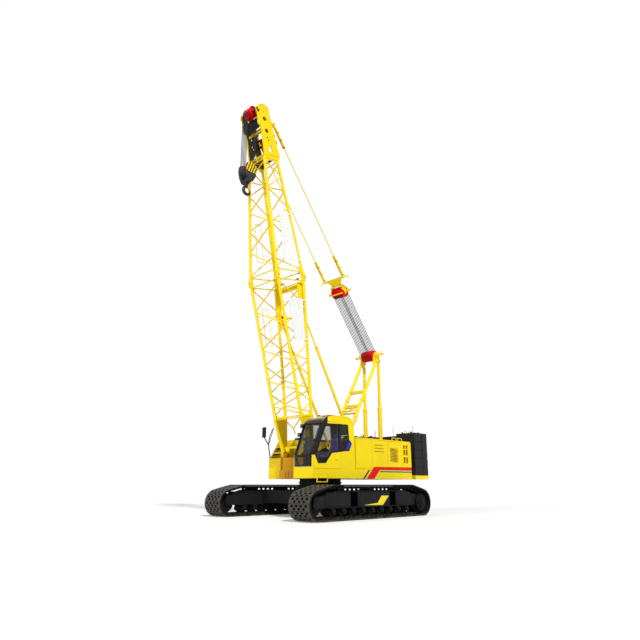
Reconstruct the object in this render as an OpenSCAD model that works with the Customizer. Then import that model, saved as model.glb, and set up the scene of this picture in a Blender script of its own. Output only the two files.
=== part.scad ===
// Lattice-boom crawler crane, 85 t class, with its 13 m basic boom raised.
// Frame: +X towards the front, +Y to the left, +Z up; the slewing axis stands on the origin
// and the tracks stand on Z = 0. All sizes are in millimetres.

/* [Crawlers] */
// Distance between the middles of the two tracks
track_gauge = 4320; // [4100:10:4600]
// Width of a track shoe
shoe_width = 900; // [760:10:960]
// Distance from one shoe to the next
shoe_pitch = 218; // [190:1:240]
// Thickness of a shoe
shoe_thickness = 62; // [50:1:80]
// Gap between neighbouring shoes
shoe_gap = 56; // [30:1:70]
// Height of the chain links inside the shoes
link_height = 66; // [50:1:80]
// Width of each of the two chain strands
link_width = 70; // [50:1:90]
// Distance between the axles of the idler and the sprocket
wheel_base = 5440; // [5200:10:5700]
// Outer radius of the track around the idler and the sprocket
loop_radius = 460; // [430:5:490]
// Height of the top run of the track
track_height = 1070; // [1020:5:1120]
// Length of the level part of the top run
top_run = 4200; // [4000:10:4400]
// Width of the crawler side frame
side_frame_width = 520; // [460:10:580]
// Thickness of the cheeks that carry the idler and the sprocket
cheek_thickness = 60; // [40:2:80]
// Diameter of the track rollers
roller_diameter = 250; // [220:2:262]
// Number of lower rollers on a side
roller_count = 9; // [7:1:10]
// Distance between two lower rollers
roller_pitch = 480; // [440:5:500]
// Thickness of the bearing block on each side of a roller
roller_block = 70; // [50:2:90]
// Diameter of the final drive's housing
final_drive_diameter = 540; // [440:10:600]
// How far the final drive's housing stands out of the side frame
final_drive_out = 90; // [50:5:130]

/* [Car body] */
// Width of each cross beam
beam_width = 330; // [280:10:380]
// Height of each cross beam
beam_height = 440; // [380:10:460]
// Place of the front cross beam ahead of the slewing axis
front_beam_x = 950; // [880:10:1000]
// Place of the rear cross beam behind the slewing axis
rear_beam_x = 1095; // [1000:10:1150]
// Diameter of the drum in the middle of the car body
body_drum_diameter = 1760; // [1600:10:1900]
// Outer diameter of the slewing bearing
bearing_diameter = 1500; // [1400:10:1600]
// Thickness of a tow eye
tow_eye_thickness = 50; // [40:1:70]
// Diameter of the tow eye's hole
tow_eye_bore = 70; // [60:1:80]
// Height of the slewing bearing
bearing_height = 250; // [220:5:280]
// Thickness of the slewing bearing's ring
bearing_wall = 150; // [120:5:180]

/* [Upper frame] */
// Height of the upper frame's underside
upper_floor = 1270; // [1250:5:1320]
// Overall width of the upper structure
upper_width = 3340; // [3200:10:3400]
// Height of the upper frame's platform
sill_height = 290; // [260:5:320]
// Width of the open well between the two houses
well_width = 1600; // [1580:10:1660]
// Front end of the platform's middle
frame_front = 1300; // [1250:10:1400]
// Rear end of both houses
house_rear = -3410; // [-3500:10:-3350]
// Thickness of the lugs on the upper frame
lug_thickness = 40; // [30:1:44]

/* [Houses] */
// Height of the houses' roof
house_top = 2680; // [2600:10:2760]
// Thickness of the house walls
house_wall = 40; // [30:1:50]
// Front end of the left house
left_house_front = -60; // [-100:5:-40]
// Front end of the right house
right_house_front = 500; // [400:10:560]
// Front end of the right tank box
tank_front = 1040; // [980:10:1100]
// Height of the right tank box's top
tank_top = 1990; // [1900:10:2050]
// Width of the steps on the tank box
step_width = 775; // [740:5:780]
// Thickness of a house door
door_thickness = 30; // [24:1:36]
// Clearance around a door
door_gap = 8; // [6:1:12]
// Gap between two neighbouring house doors
house_door_space = 60; // [50:5:70]
// Length of the fixed panel behind the left doors
rear_panel = 590; // [560:5:620]
// Length of the engine block
engine_length = 1400; // [1300:10:1500]
// Distance of the engine block from the house's rear end
engine_behind = 600; // [560:10:700]
// Space over the engine block
engine_over = 260; // [220:10:320]

/* [Cab] */
// Front end of the cab
cab_front = 2096; // [2050:2:2150]
// Rear end of the cab
cab_rear = -20; // [-30:1:0]
// Top of the cab's roof at its rear
cab_top = 3370; // [3300:10:3440]
// Thickness of the cab walls
cab_wall = 50; // [40:1:60]
// Height of the lower front glass's lower edge
lower_glass_low = 1660; // [1645:5:1700]
// Height of the windscreen's lower edge
screen_low = 1975; // [1940:5:2010]
// Height of the windscreen's upper edge
screen_high = 3060; // [3020:5:3090]
// How far back the windscreen leans
screen_lean = 440; // [400:5:480]
// Thickness of the glass
glass_thickness = 12; // [8:1:16]
// Height of the cab floor's top
cab_floor = 1640; // [1620:5:1680]

/* [Counterweight] */
// Front face of the counterweight
weight_front = -3660; // [-3720:10:-3600]
// Rear face of the counterweight
weight_rear = -4580; // [-4640:10:-4500]
// Length over which the counterweight's sides run straight
weight_straight = 540; // [400:10:700]
// How far its sides fall back from there to its rear
weight_taper = 20; // [10:5:60]
// Height of the counterweight's tray
tray_height = 145; // [120:5:180]
// Top of the two outer stacks
stack_top = 3080; // [2980:10:3160]
// Number of slabs in each outer stack
slab_count = 5; // [4:1:7]
// Width of an outer slab
slab_width = 870; // [800:10:920]

/* [Gantry] */
// Place of the gantry's head pin along X
gantry_x = -3050; // [-3100:10:-3000]
// Height of the gantry's head pin
gantry_z = 6350; // [6200:10:6500]
// Distance between the middles of the gantry's two sides
gantry_width = 780; // [740:10:820]
// Place of the front legs' feet
gantry_foot_x = -480; // [-520:10:-440]
// Outside diameter of the front legs
front_leg_diameter = 130; // [110:2:150]
// Outside diameter of the rear legs' lower tubes
rear_tube_diameter = 170; // [150:2:180]
// Outside diameter of the rear legs' upper rods
rear_rod_diameter = 120; // [100:2:130]
// Distance from the gantry's head pin down to the rear legs' lower tubes
rear_rod_length = 2260; // [2100:10:2400]
// Distance between the ends of the gantry's head pin
gantry_pin_length = 1490; // [1400:10:1560]
// Diameter of the luffing sheaves
luff_sheave_diameter = 460; // [420:5:500]

/* [Winches] */
// Diameter of the drums' flanges
drum_flange = 700; // [640:10:740]
// Diameter of the rope on the drums
drum_core = 480; // [440:10:520]
// Length of the drums
drum_length = 900; // [840:10:940]
// Place of the second hoist drum along X
aux_drum_x = 210; // [160:10:240]
// Place of the main hoist drum along X
main_drum_x = -1800; // [-1850:10:-1780]
// Place of the luffing drum along X
luff_drum_x = -2660; // [-2680:10:-2640]
// Height of the drums' axles above the platform
drum_height = 430; // [400:5:460]

/* [Boom] */
// Angle of the boom above the ground
boom_angle = 79.5; // [78:0.1:81]
// Place of the boom's foot pin along X
foot_x = 1163; // [1120:1:1200]
// Height of the boom's foot pin
foot_z = 2100; // [2060:5:2150]
// Distance between the middles of the boom's two legs
foot_width = 1350; // [1320:5:1360]
// Distance from the foot pin to the lattice of the base section
leg_length = 1290; // [1200:10:1400]
// Depth of the base section where the lattice starts
base_depth = 510; // [460:10:560]
// Distance from the foot pin to the joint of the two sections
joint_at = 6400; // [6200:10:6600]
// Depth of the boom at the joint
joint_depth = 1305; // [1250:5:1350]
// Distance between the chords' middles at the joint
joint_width = 1486; // [1460:2:1490]
// Distance from the foot pin to the boom's head
head_at = 11050; // [10900:10:11200]
// Depth of the boom where the head starts
head_depth = 666; // [620:2:700]
// Distance between the chords' middles at the head
head_width = 892; // [860:2:920]
// Length of the head plates
head_length = 2260; // [2160:10:2360]
// Outside diameter of the chords
chord_diameter = 108; // [96:2:114]
// Outside diameter of the bracing
brace_diameter = 50; // [42:1:60]
// Number of bracing bays in the base section
base_bays = 8; // [6:1:9]
// Number of bracing bays in the top section
top_bays = 6; // [5:1:8]
// Thickness of the boom's foot plates
plate_thickness = 60; // [50:1:70]
// Thickness of the head plates
head_plate = 40; // [34:1:46]
// Diameter of the foot pin
foot_pin = 110; // [100:1:120]
// Diameter of the head sheaves
head_sheave_diameter = 400; // [380:5:420]
// Distance from the foot pin along the boom to the head sheaves
head_sheave_at = 12980; // [12960:5:13010]
// Distance of the head sheaves ahead of the boom's middle
head_sheave_ahead = 395; // [380:5:410]
// Diameter of the pin holes for a fly jib in the head plates
jib_bore = 90; // [80:1:100]

/* [Hoist] */
// Distance from the head sheaves down to the hook block's sheaves
fall_length = 2480; // [2300:10:2700]
// Diameter of the hoist rope
hoist_rope = 26; // [20:1:30]
// Distance between two neighbouring sheaves
sheave_pitch = 74; // [68:1:80]

// Diameter of the hook's shank
shank_diameter = 110; // [100:2:120]
// Inner radius of the hook's bowl
hook_radius = 105; // [95:1:115]
// Thickness of the hook's bowl
hook_thickness = 90; // [80:1:100]

/* [Luffing gear] */
// Share of the way from the gantry to the head where the bridle's sheaves hang
bridle_share = 0.3; // [0.27:0.01:0.33]
// Distance between the ends of the bridle's sheave pin
bridle_pin_length = 1200; // [1100:10:1260]
// Distance from the bridle's sheaves to its upper pins
bridle_length = 640; // [560:10:700]
// Place of the pendants' upper pins along the boom
pendant_at = 12530; // [12480:5:12580]
// Distance of the pendants' upper pins behind the boom's middle
pendant_behind = 290; // [260:5:320]
// Diameter of a pendant
pendant_diameter = 40; // [30:1:50]
// Distance between the two backstops
backstop_width = 1240; // [1230:2:1250]
// Place of the backstops' lower pin along X
backstop_x = -1450; // [-1500:10:-1400]
// Height of the backstops' lower pin
backstop_z = 2000; // [1900:10:2060]
// Place of the backstops' upper pin along the boom
backstop_at = 4850; // [4700:10:5000]
// Distance of the backstops' upper pin behind the boom's rear chords
backstop_behind = 70; // [60:5:90]
// Outside diameter of the backstops' tubes
backstop_tube = 100; // [90:2:104]
// Diameter of the backstops' rods
backstop_rod = 62; // [50:1:70]
// Length of the backstops' tubes
backstop_tube_length = 4600; // [4400:10:4700]

/* [Hidden] */
$fn = 48;

// Clearance of pieces that sit against each other, and of a pin in its hole
seat = 0.3;
pin_play = 0.4;
// Clearance between a moving piece and what it passes
run_gap = 8;

yellow = [0.97, 0.80, 0.06];
dark = [0.16, 0.16, 0.17];
red = [0.85, 0.06, 0.08];
steel = [0.5, 0.5, 0.52];

// Half of the track's loop, from under the middle round the front to over the middle
half_base = wheel_base / 2;
loop_drop = track_height - loop_radius;
loop_reach = norm([top_run / 2 - half_base, loop_drop]);
// The loop r round the wheels leaves them for the corner of its own top run at this angle
function tangent_angle(r) =
    let (corner = [top_run / 2 - half_base, loop_drop + r - loop_radius])
    atan2(corner[1], corner[0]) - acos(r / norm(corner));
function on_arc(r, a) = [half_base + r * cos(a), loop_radius + r * sin(a)];
loop_tangent = tangent_angle(loop_radius);
arc_length = loop_radius * (loop_tangent + 90) * PI / 180;
slope_length = sqrt(loop_reach * loop_reach - loop_radius * loop_radius);
half_loop = half_base + arc_length + slope_length + top_run / 2;
slope_start = on_arc(loop_radius, loop_tangent);
slope_end = [top_run / 2, track_height];
function half_path(u) =
    u <= half_base ? [u, 0]
    : u <= half_base + arc_length
        ? on_arc(loop_radius, -90 + (u - half_base) / loop_radius * 180 / PI)
    : u <= half_base + arc_length + slope_length
        ? slope_start + (slope_end - slope_start) * (u - half_base - arc_length) / slope_length
    : [half_loop - u, track_height];
function loop_path(t) =
    t <= half_loop ? half_path(t)
    : let (p = half_path(2 * half_loop - t)) [-p[0], p[1]];
shoe_count = round(2 * half_loop / shoe_pitch);
function shoe_outline(i) =
    let (
        a = loop_path(2 * half_loop * i / shoe_count),
        b = loop_path(2 * half_loop * (i + 1) / shoe_count),
        along = (b - a) / norm(b - a),
        inwards = [-along[1], along[0]],
        edge = along * shoe_gap / 2,
        deep = inwards * (shoe_thickness - 12)
    )
    [a + edge + deep, a + edge, b - edge, b - edge + deep];
// The same loop, moved inwards by e, with its ends in a few flats
arc_steps = 10;
function arc_step(r) = (tangent_angle(r) + 90) / arc_steps;
function half_inset(e) =
    let (r = loop_radius - e)
    concat(
        [for (k = [0:arc_steps]) on_arc(r, -90 + arc_step(r) * k)],
        [[top_run / 2, track_height - e]]
    );
function loop_inset(e) =
    let (h = half_inset(e), n = len(h))
    concat(h, [for (k = [0:n - 1]) [-h[n - 1 - k][0], h[n - 1 - k][1]]]);

chain_inside = shoe_thickness + link_height;
// The idlers and sprockets touch the middles of the chain's flats
chain_radius = loop_radius - chain_inside;
wheel_radius = chain_radius * cos(arc_step(chain_radius) / 2) - seat;
side_frame_top = track_height - chain_inside - 52;
side_frame_low = chain_inside + roller_diameter;
side_frame_shoulder = side_frame_top - 126;
beam_low = side_frame_top - 20 - beam_height;
inner_face = track_gauge / 2 - side_frame_width / 2;
wheel_width = side_frame_width - 2 * cheek_thickness - 60;
axle_diameter = 120;

well = well_width / 2;
side = upper_width / 2;
platform_top = upper_floor + sill_height;
car_body_top = upper_floor - bearing_height;

// A point of the boom, s along it from the foot pin and d ahead of its middle
function boom_point(s, d) = [
    foot_x + s * cos(boom_angle) + d * sin(boom_angle),
    foot_z + s * sin(boom_angle) - d * cos(boom_angle)
];
function mix(a, b, t) = a + (b - a) * t;
function base_share(s) = (s - leg_length) / (joint_at - leg_length);
function top_share(s) = (s - joint_at) / (head_at - joint_at);
function half_width_at(s) =
    (s < joint_at ? mix(foot_width, joint_width, base_share(s))
        : mix(joint_width, head_width, top_share(s))) / 2;
function half_depth_at(s) =
    (s < joint_at ? mix(base_depth, joint_depth, base_share(s))
        : mix(joint_depth, head_depth, top_share(s))) / 2;
sheave_pin = boom_point(head_sheave_at, head_sheave_ahead);
pendant_pin = boom_point(pendant_at, -pendant_behind);
backstop_drop = half_depth_at(backstop_at) + backstop_behind;
backstop_pin = boom_point(backstop_at, -backstop_drop);
backstop_foot = [backstop_x, backstop_z];
gantry_pin = [gantry_x, gantry_z];
rope_line = (pendant_pin - gantry_pin) / norm(pendant_pin - gantry_pin);
rope_angle = atan2(rope_line[1], rope_line[0]);
bridle_pin = mix(gantry_pin, pendant_pin, bridle_share);
bridle_top = bridle_pin + rope_line * bridle_length;
block_z = sheave_pin[1] - fall_length;
drum_z = platform_top + drum_height;
head_half = head_width / 2;
weight_lip = 5;
block_half = 250;
// A hinge pin stands on a door's outer corner and fills the gap beside it
hinge_off = 2;
hinge_diameter = 2 * (door_gap + hinge_off - seat);
rope_off = (head_sheave_diameter + hoist_rope) / 2 + seat;
pendant_off = 45;
pendant_y = head_half + head_plate / 2 + pendant_off;
tow_eye_at = [front_beam_x + beam_width / 2 + 90, -rear_beam_x - beam_width / 2 - 90];
tow_eye_z = beam_low + 150;

// The slewing axis stands this far ahead of the middle of the whole crane
swing_x = 10 * round((weight_lip - weight_rear - sheave_pin[0] - block_half) / 20);

// Bare shapes that several parts share
module on_machine() {
    translate([swing_x, 0, 0]) children();
}
module handed(hand) {
    if (hand > 0) children();
    else mirror([0, 1, 0]) children();
}
module rod(a, b, d, sides = 48) {
    v = b - a;
    translate(a)
        rotate([0, acos(v[2] / norm(v)), atan2(v[1], v[0])])
            cylinder(d = d, h = norm(v), $fn = sides);
}
// A rod whose ends stop short of the two points by gap
module strut(a, b, d, gap, sides = 48) {
    u = (b - a) / norm(b - a);
    rod(a + u * gap, b - u * gap, d, sides);
}
module plate(points, thickness, y = 0) {
    translate([0, y, 0]) rotate([90, 0, 0])
        linear_extrude(height = thickness, center = true) polygon(points);
}
module block(low, high) {
    translate(low) cube(high - low);
}
module cross_pin(at, d, length, y = 0) {
    translate([at[0], y, at[1]]) rotate([90, 0, 0])
        cylinder(d = d, h = length, center = true);
}
module on_boom() {
    translate([foot_x, 0, foot_z]) rotate([0, 90 - boom_angle, 0]) children();
}
module both_sides() {
    children();
    mirror([0, 1, 0]) children();
}
module along_rope(from) {
    translate([from[0], 0, from[1]]) rotate([0, -rope_angle, 0]) children();
}

// Crawlers
module track(hand) {
    color(dark) on_machine()
    translate([0, hand * track_gauge / 2, 0]) rotate([90, 0, 0]) {
        difference() {
            linear_extrude(height = shoe_width, center = true)
                polygon([for (i = [0:shoe_count - 1]) each shoe_outline(i)]);
            linear_extrude(height = shoe_width + 2, center = true)
                polygon(loop_inset(shoe_thickness));
        }
        for (z = [-1, 1])
            translate([0, 0, z * (wheel_width / 2 - link_width / 2)])
                linear_extrude(height = link_width, center = true)
                    difference() {
                        polygon(loop_inset(shoe_thickness - 2));
                        polygon(loop_inset(chain_inside));
                    }
    }
}
module side_frame(hand) {
    half = half_base - 500;
    slope = 420;
    color(dark) on_machine() handed(hand) translate([0, track_gauge / 2, 0]) difference() {
        union() {
            plate([
                [-half, side_frame_low], [half, side_frame_low],
                [half, side_frame_shoulder], [half - slope, side_frame_top],
                [slope - half, side_frame_top], [-half, side_frame_shoulder]
            ], side_frame_width);
            for (y = [-1, 1]) {
                translate([0, y * (side_frame_width / 2 - cheek_thickness / 2), 0]) {
                    plate([
                        [half - 2, side_frame_low], [half_base + 60, side_frame_low],
                        [half_base + 60, side_frame_shoulder - 60],
                        [half - 2, side_frame_shoulder]
                    ], cheek_thickness);
                    plate([
                        [-half_base, side_frame_low + 10], [2 - half, side_frame_low],
                        [2 - half, side_frame_shoulder],
                        [-half_base, side_frame_shoulder - 60]
                    ], cheek_thickness);
                    cross_pin([-half_base, loop_radius], 340, cheek_thickness);
                }
                for (i = [0:roller_count - 1])
                    translate([
                        (i - (roller_count - 1) / 2) * roller_pitch,
                        y * (wheel_width / 2 + 10 + roller_block / 2), 0
                    ])
                        plate([
                            [-60, chain_inside + roller_diameter / 2 - 55],
                            [60, chain_inside + roller_diameter / 2 - 55],
                            [95, side_frame_low + 2], [-95, side_frame_low + 2]
                        ], roller_block);
            }
            for (x = [-1500, 0, 1500])
                block([x - 130, -wheel_width / 2, side_frame_top - 2],
                    [x + 130, wheel_width / 2, track_height - chain_inside - seat]);
        }
        for (x = [front_beam_x, -rear_beam_x])
            block([x - beam_width / 2, side_frame_width / 2 - 150, beam_low],
                [x + beam_width / 2, side_frame_width / 2 + 10, side_frame_top - 20]);
        for (x = [-half_base, half_base])
            cross_pin([x, loop_radius], axle_diameter + 2 * pin_play, side_frame_width + 10);
    }
}
module rollers() {
    color(dark) on_machine() both_sides() translate([0, track_gauge / 2, 0])
        for (i = [0:roller_count - 1]) {
            at = [
                (i - (roller_count - 1) / 2) * roller_pitch,
                chain_inside + roller_diameter / 2
            ];
            cross_pin(at, roller_diameter - 2 * seat, wheel_width - 10);
            cross_pin(at, 90, wheel_width + 20 - 2 * seat);
        }
}
module idlers() {
    color(dark) on_machine() both_sides() translate([0, track_gauge / 2, 0]) {
        cross_pin([half_base, loop_radius], 2 * wheel_radius, wheel_width);
        cross_pin([half_base, loop_radius], axle_diameter, side_frame_width + 20);
    }
}
module sprockets() {
    color(dark) on_machine() both_sides() translate([0, track_gauge / 2, 0]) {
        cross_pin([-half_base, loop_radius], 2 * wheel_radius, wheel_width);
        cross_pin([-half_base, loop_radius], axle_diameter, side_frame_width + 20);
        cross_pin([-half_base, loop_radius], final_drive_diameter, final_drive_out,
            side_frame_width / 2 + seat + final_drive_out / 2);
        cross_pin([-half_base, loop_radius], final_drive_diameter - 130, 40,
            side_frame_width / 2 + final_drive_out + 18);
    }
}

// Car body
module car_body() {
    color(dark) on_machine() difference() {
        union() {
            translate([0, 0, beam_low - 30])
                cylinder(d = body_drum_diameter, h = car_body_top - beam_low + 30);
            block([-rear_beam_x, -640, beam_low + 20],
                [front_beam_x, 640, beam_low + beam_height - 20]);
        }
        for (x = [front_beam_x, -rear_beam_x])
            block([x - beam_width / 2 - seat, seat - inner_face, 0],
                [x + beam_width, inner_face - seat, beam_low + beam_height + seat]);
    }
}
module cross_beams() {
    color(dark) on_machine() difference() {
        union() {
            for (x = [front_beam_x, -rear_beam_x])
                block([x - beam_width / 2, seat - inner_face, beam_low],
                    [x + beam_width / 2, inner_face - seat, beam_low + beam_height]);
            for (x = tow_eye_at)
                block([x - 100, -100, tow_eye_z - tow_eye_thickness / 2],
                    [x + 100, 100, tow_eye_z + tow_eye_thickness / 2]);
        }
        for (x = tow_eye_at)
            translate([x, 0, tow_eye_z])
                cylinder(d = tow_eye_bore, h = tow_eye_thickness + 10, center = true);
    }
}
module slewing_bearing() {
    color(dark) on_machine() translate([0, 0, car_body_top + seat]) difference() {
        cylinder(d = bearing_diameter, h = bearing_height - 2 * seat);
        translate([0, 0, -1])
            cylinder(d = bearing_diameter - 2 * bearing_wall, h = bearing_height + 2);
    }
}

// Upper frame with the lugs that carry the boom, the backstops, the gantry and the winches
lug_out = foot_width / 2 + plate_thickness / 2 + run_gap;
lug_in = foot_width / 2 - plate_thickness / 2 - run_gap - lug_thickness;
module lug(at, radius, half_foot, y, thickness) {
    plate([[at[0] - half_foot, platform_top - 2], [at[0] + half_foot, platform_top - 2],
        [at[0] + radius, at[1]], [at[0] - radius, at[1]]], thickness, y);
    cross_pin(at, 2 * radius, thickness, y);
}
module upper_frame() {
    color(yellow) on_machine() difference() {
        union() {
            block([weight_front + seat, -well, upper_floor], [frame_front, well, platform_top]);
            block([house_rear, well - 2, upper_floor], [cab_front, side, platform_top]);
            block([house_rear, -side, upper_floor], [tank_front, 2 - well, platform_top]);
            both_sides() {
                for (y = [lug_in, lug_out]) {
                    plate([
                        [foot_x - 330, platform_top - 2], [frame_front, platform_top - 2],
                        [foot_x + 130, foot_z], [foot_x - 130, foot_z]
                    ], lug_thickness, y + lug_thickness / 2);
                    cross_pin([foot_x, foot_z], 260, lug_thickness, y + lug_thickness / 2);
                }
                for (y = [-1, 1])
                    lug(backstop_foot, 75, 200,
                        backstop_width / 2 + y * (backstop_tube / 2 + run_gap + 14), 28);
                for (y = [-1, 1])
                    lug([gantry_foot_x, platform_top + 150], 90, 150,
                        gantry_width / 2 + y * (front_leg_diameter / 2 + seat + 15), 30);
                for (x = [aux_drum_x, main_drum_x, luff_drum_x])
                    lug([x, drum_z], 110, 220, drum_length / 2 + run_gap + 20, 40);
            }
            block([frame_front - 160, -lug_in, platform_top - 2],
                [frame_front, lug_in, platform_top + 430]);
        }
        cross_pin([foot_x, foot_z], foot_pin + 2 * pin_play, upper_width);
        cross_pin(backstop_foot, 60 + 2 * pin_play, upper_width);
        for (x = [aux_drum_x, main_drum_x, luff_drum_x])
            cross_pin([x, drum_z], 90 + 2 * pin_play, upper_width);
    }
}

// Houses, their doors and the engine
left_door_front_x = left_house_front - 30;
house_door_length =
    (left_door_front_x - house_rear - rear_panel - 2 * house_door_space) / 3;
house_door_pitch = house_door_length + house_door_space;
right_door_front_x = left_door_front_x - house_door_pitch;
door_low = platform_top + 45;
door_high = house_top - 45;
roof_round = 90;
function house_profile(front, rear, low, high, round) = concat(
    [[rear, low], [front, low], [front, high]],
    [for (k = [0:4]) [rear + round - round * sin(k * 22.5), high - round + round * cos(k * 22.5)]]
);
module door_hole(front) {
    block([front - house_door_length - door_gap, side - house_wall - 60, door_low - door_gap],
        [front + door_gap, side + 10, door_high + door_gap]);
}
module house_shell(front) {
    difference() {
        plate(house_profile(front, house_rear, platform_top + seat, house_top, roof_round),
            side - well, (side + well) / 2);
        plate(house_profile(front - house_wall, house_rear + house_wall,
            platform_top + seat + 20, house_top - house_wall, roof_round - house_wall),
            side - well - 2 * house_wall, (side + well) / 2);
        for (i = [0:2]) {
            low = [door_low + 250, door_low + 555, door_low + 800][i];
            high = [door_low + 480, door_low + 760, door_low + 930][i];
            for (x = [0, 170])
                block([house_rear + 200 + x, side - house_wall - 10, low],
                    [house_rear + 330 + x, side + 10, high]);
        }
    }
}
module left_house() {
    color(yellow) on_machine() difference() {
        house_shell(left_house_front);
        for (i = [0:2]) door_hole(left_door_front_x - i * house_door_pitch);
    }
}
module right_house() {
    color(yellow) on_machine() mirror([0, 1, 0]) difference() {
        house_shell(right_house_front);
        for (i = [0:1]) door_hole(right_door_front_x - i * house_door_pitch);
    }
}
// The tank box ahead of the right house, with the steps to the roof
module right_tank() {
    rise = (house_top - tank_top) / 3;
    run = (tank_front - right_house_front) / 3;
    rear = right_house_front + seat;
    color(yellow) on_machine() mirror([0, 1, 0]) {
        block([rear, well, platform_top + seat], [tank_front, side, tank_top]);
        for (i = [0:1])
            plate([
                [rear, tank_top - 2], [tank_front - (i + 1) * run, tank_top - 2],
                [tank_front - (i + 1) * run, tank_top + (i + 1) * rise - 40],
                [tank_front - (i + 1) * run + 70, tank_top + (i + 1) * rise - 40],
                [tank_front - (i + 1) * run + 70, tank_top + (i + 1) * rise],
                [rear, tank_top + (i + 1) * rise]
            ], step_width, well + 30 + step_width / 2);
        for (y = [well + 15, well + 45 + step_width])
            plate([
                [rear, tank_top - 2], [tank_front, tank_top - 2],
                [right_house_front + 90, house_top], [rear, house_top]
            ], 30, y);
    }
}
module house_door(front) {
    difference() {
        union() {
            block([front - house_door_length, side - door_thickness, door_low],
                [front, side, door_high]);
            for (z = [door_low + 120, door_high - 120])
                translate([front - hinge_off, side - hinge_off, z])
                    cylinder(d = hinge_diameter, h = 120, center = true);
        }
        children();
    }
}
module left_door_front() {
    color(yellow) on_machine() house_door(left_door_front_x)
        translate([left_door_front_x - 430, side, door_low + 70]) rotate([90, 0, 0])
            cylinder(d = 60, h = 20, center = true);
}
module left_door_middle() {
    front = left_door_front_x - house_door_pitch;
    color(yellow) on_machine() house_door(front)
        for (i = [0:2])
            block([front - 750, side - 12, door_high - 180 - i * 115],
                [front - 150, side + 10, door_high - 145 - i * 115]);
}
module left_door_rear() {
    front = left_door_front_x - 2 * house_door_pitch;
    color(yellow) on_machine() house_door(front)
        block([front - 640, side - 20, door_low + 260], [front - 130, side + 10, door_high - 250]);
}
module right_door_front() {
    color(yellow) on_machine() mirror([0, 1, 0]) house_door(right_door_front_x)
        for (i = [0:2])
            block([right_door_front_x - 750, side - 12, door_high - 180 - i * 115],
                [right_door_front_x - 150, side + 10, door_high - 145 - i * 115]);
}
module right_door_rear() {
    front = right_door_front_x - house_door_pitch;
    color(yellow) on_machine() mirror([0, 1, 0]) house_door(front)
        block([front - 640, side - 20, door_low + 260], [front - 130, side + 10, door_high - 250]);
}
module engine() {
    color(steel) on_machine()
        block([house_rear + engine_behind, -side + house_wall + 60, platform_top + 20 + 2 * seat],
            [house_rear + engine_behind + engine_length, -well - house_wall - 20,
                house_top - engine_over]);
}

// Cab
cab_mid = (well + side) / 2;
function cab_outline(e) =
    let (lean = screen_lean / (screen_high - screen_low))
    [
        [cab_rear + e, platform_top + seat + (e > 0 ? cab_floor - platform_top : 0)],
        [cab_front - e, platform_top + seat + (e > 0 ? cab_floor - platform_top : 0)],
        [cab_front - e, screen_low],
        [cab_front - screen_lean - e, screen_high - e * lean],
        [cab_front - screen_lean - 240, cab_top - 110 - e],
        [cab_front - screen_lean - 560, cab_top - 40 - e],
        [cab_rear + 360, cab_top - e],
        [cab_rear + 170 + e / 3, cab_top - 70 - e],
        [cab_rear + 70 + e * 0.8, cab_top - 240 - e / 2],
        [cab_rear + 30 + e, cab_top - 560]
    ];
// The side window's outline in X and Z
window_top = screen_high - 10;
function screen_x(z) = cab_front - screen_lean * (z - screen_low) / (screen_high - screen_low);
side_window = [
    [screen_x(screen_low + 30) - 100, screen_low + 30], [screen_x(window_top) - 190, window_top],
    [cab_rear + 365, window_top + 30], [cab_rear + 302, 2570], [cab_rear + 166, 2445],
    [cab_rear + 311, 2180], [cab_rear + 536, 2170], [cab_rear + 1189, 2083],
    [cab_rear + 1493, 1750], [cab_rear + 1857, 1735]
];
door_split = 760;
door_sill = platform_top + 20;
function door_outline(e) = [
    [door_split - e, door_sill - e], [cab_front - 60 + e, door_sill - e],
    [screen_x(screen_low) - 55 + e, screen_low], [screen_x(window_top) - 140 + e, window_top + 45],
    [screen_x(window_top) - 160 + e, window_top + 60 + e], [door_split - e, window_top + 75 + e]
];
window_stile = 55;
module side_window_part(low, high, thickness, y) {
    intersection() {
        plate(side_window, thickness, y);
        block([low, y - 2 * cab_wall, upper_floor], [high, y + 2 * cab_wall, cab_top]);
    }
}
module cab_shell() {
    color(yellow) on_machine() difference() {
        plate(cab_outline(0), side - well - 2 * seat, cab_mid);
        plate(cab_outline(cab_wall), side - well - 2 * cab_wall, cab_mid);
        // side windows and the door's opening
        plate(side_window, 3 * cab_wall, well);
        side_window_part(cab_rear, door_split - window_stile, 3 * cab_wall, side);
        plate(door_outline(door_gap), 3 * cab_wall, side);
        // windscreen, lower front glass, roof glass and rear window
        block([cab_front - cab_wall - 20, well + 60, lower_glass_low],
            [cab_front + 10, side - 60, screen_low - 50]);
        plate([
            [cab_front - 300, screen_low + 30], [cab_front + 60, screen_low + 30],
            [cab_front + 60 - screen_lean, screen_high - 20],
            [cab_front - 300 - screen_lean, screen_high - 20]
        ], side - well - 120, cab_mid);
        block([cab_front - screen_lean - 205, well + 80, cab_top - 500],
            [cab_front - screen_lean - 60, side - 80, cab_top + 10]);
        block([cab_rear - 10, well + 120, 2200], [cab_rear + 130, side - 120, 2760]);
    }
}
module cab_door() {
    color(yellow) on_machine() difference() {
        union() {
            plate(door_outline(0), cab_wall - 2, side - cab_wall / 2);
            for (z = [door_sill + 300, window_top - 200])
                translate([door_split + hinge_off, side - hinge_off, z])
                    cylinder(d = hinge_diameter, h = 120, center = true);
        }
        side_window_part(door_split + window_stile, cab_front, 3 * cab_wall, side);
    }
}
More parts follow.
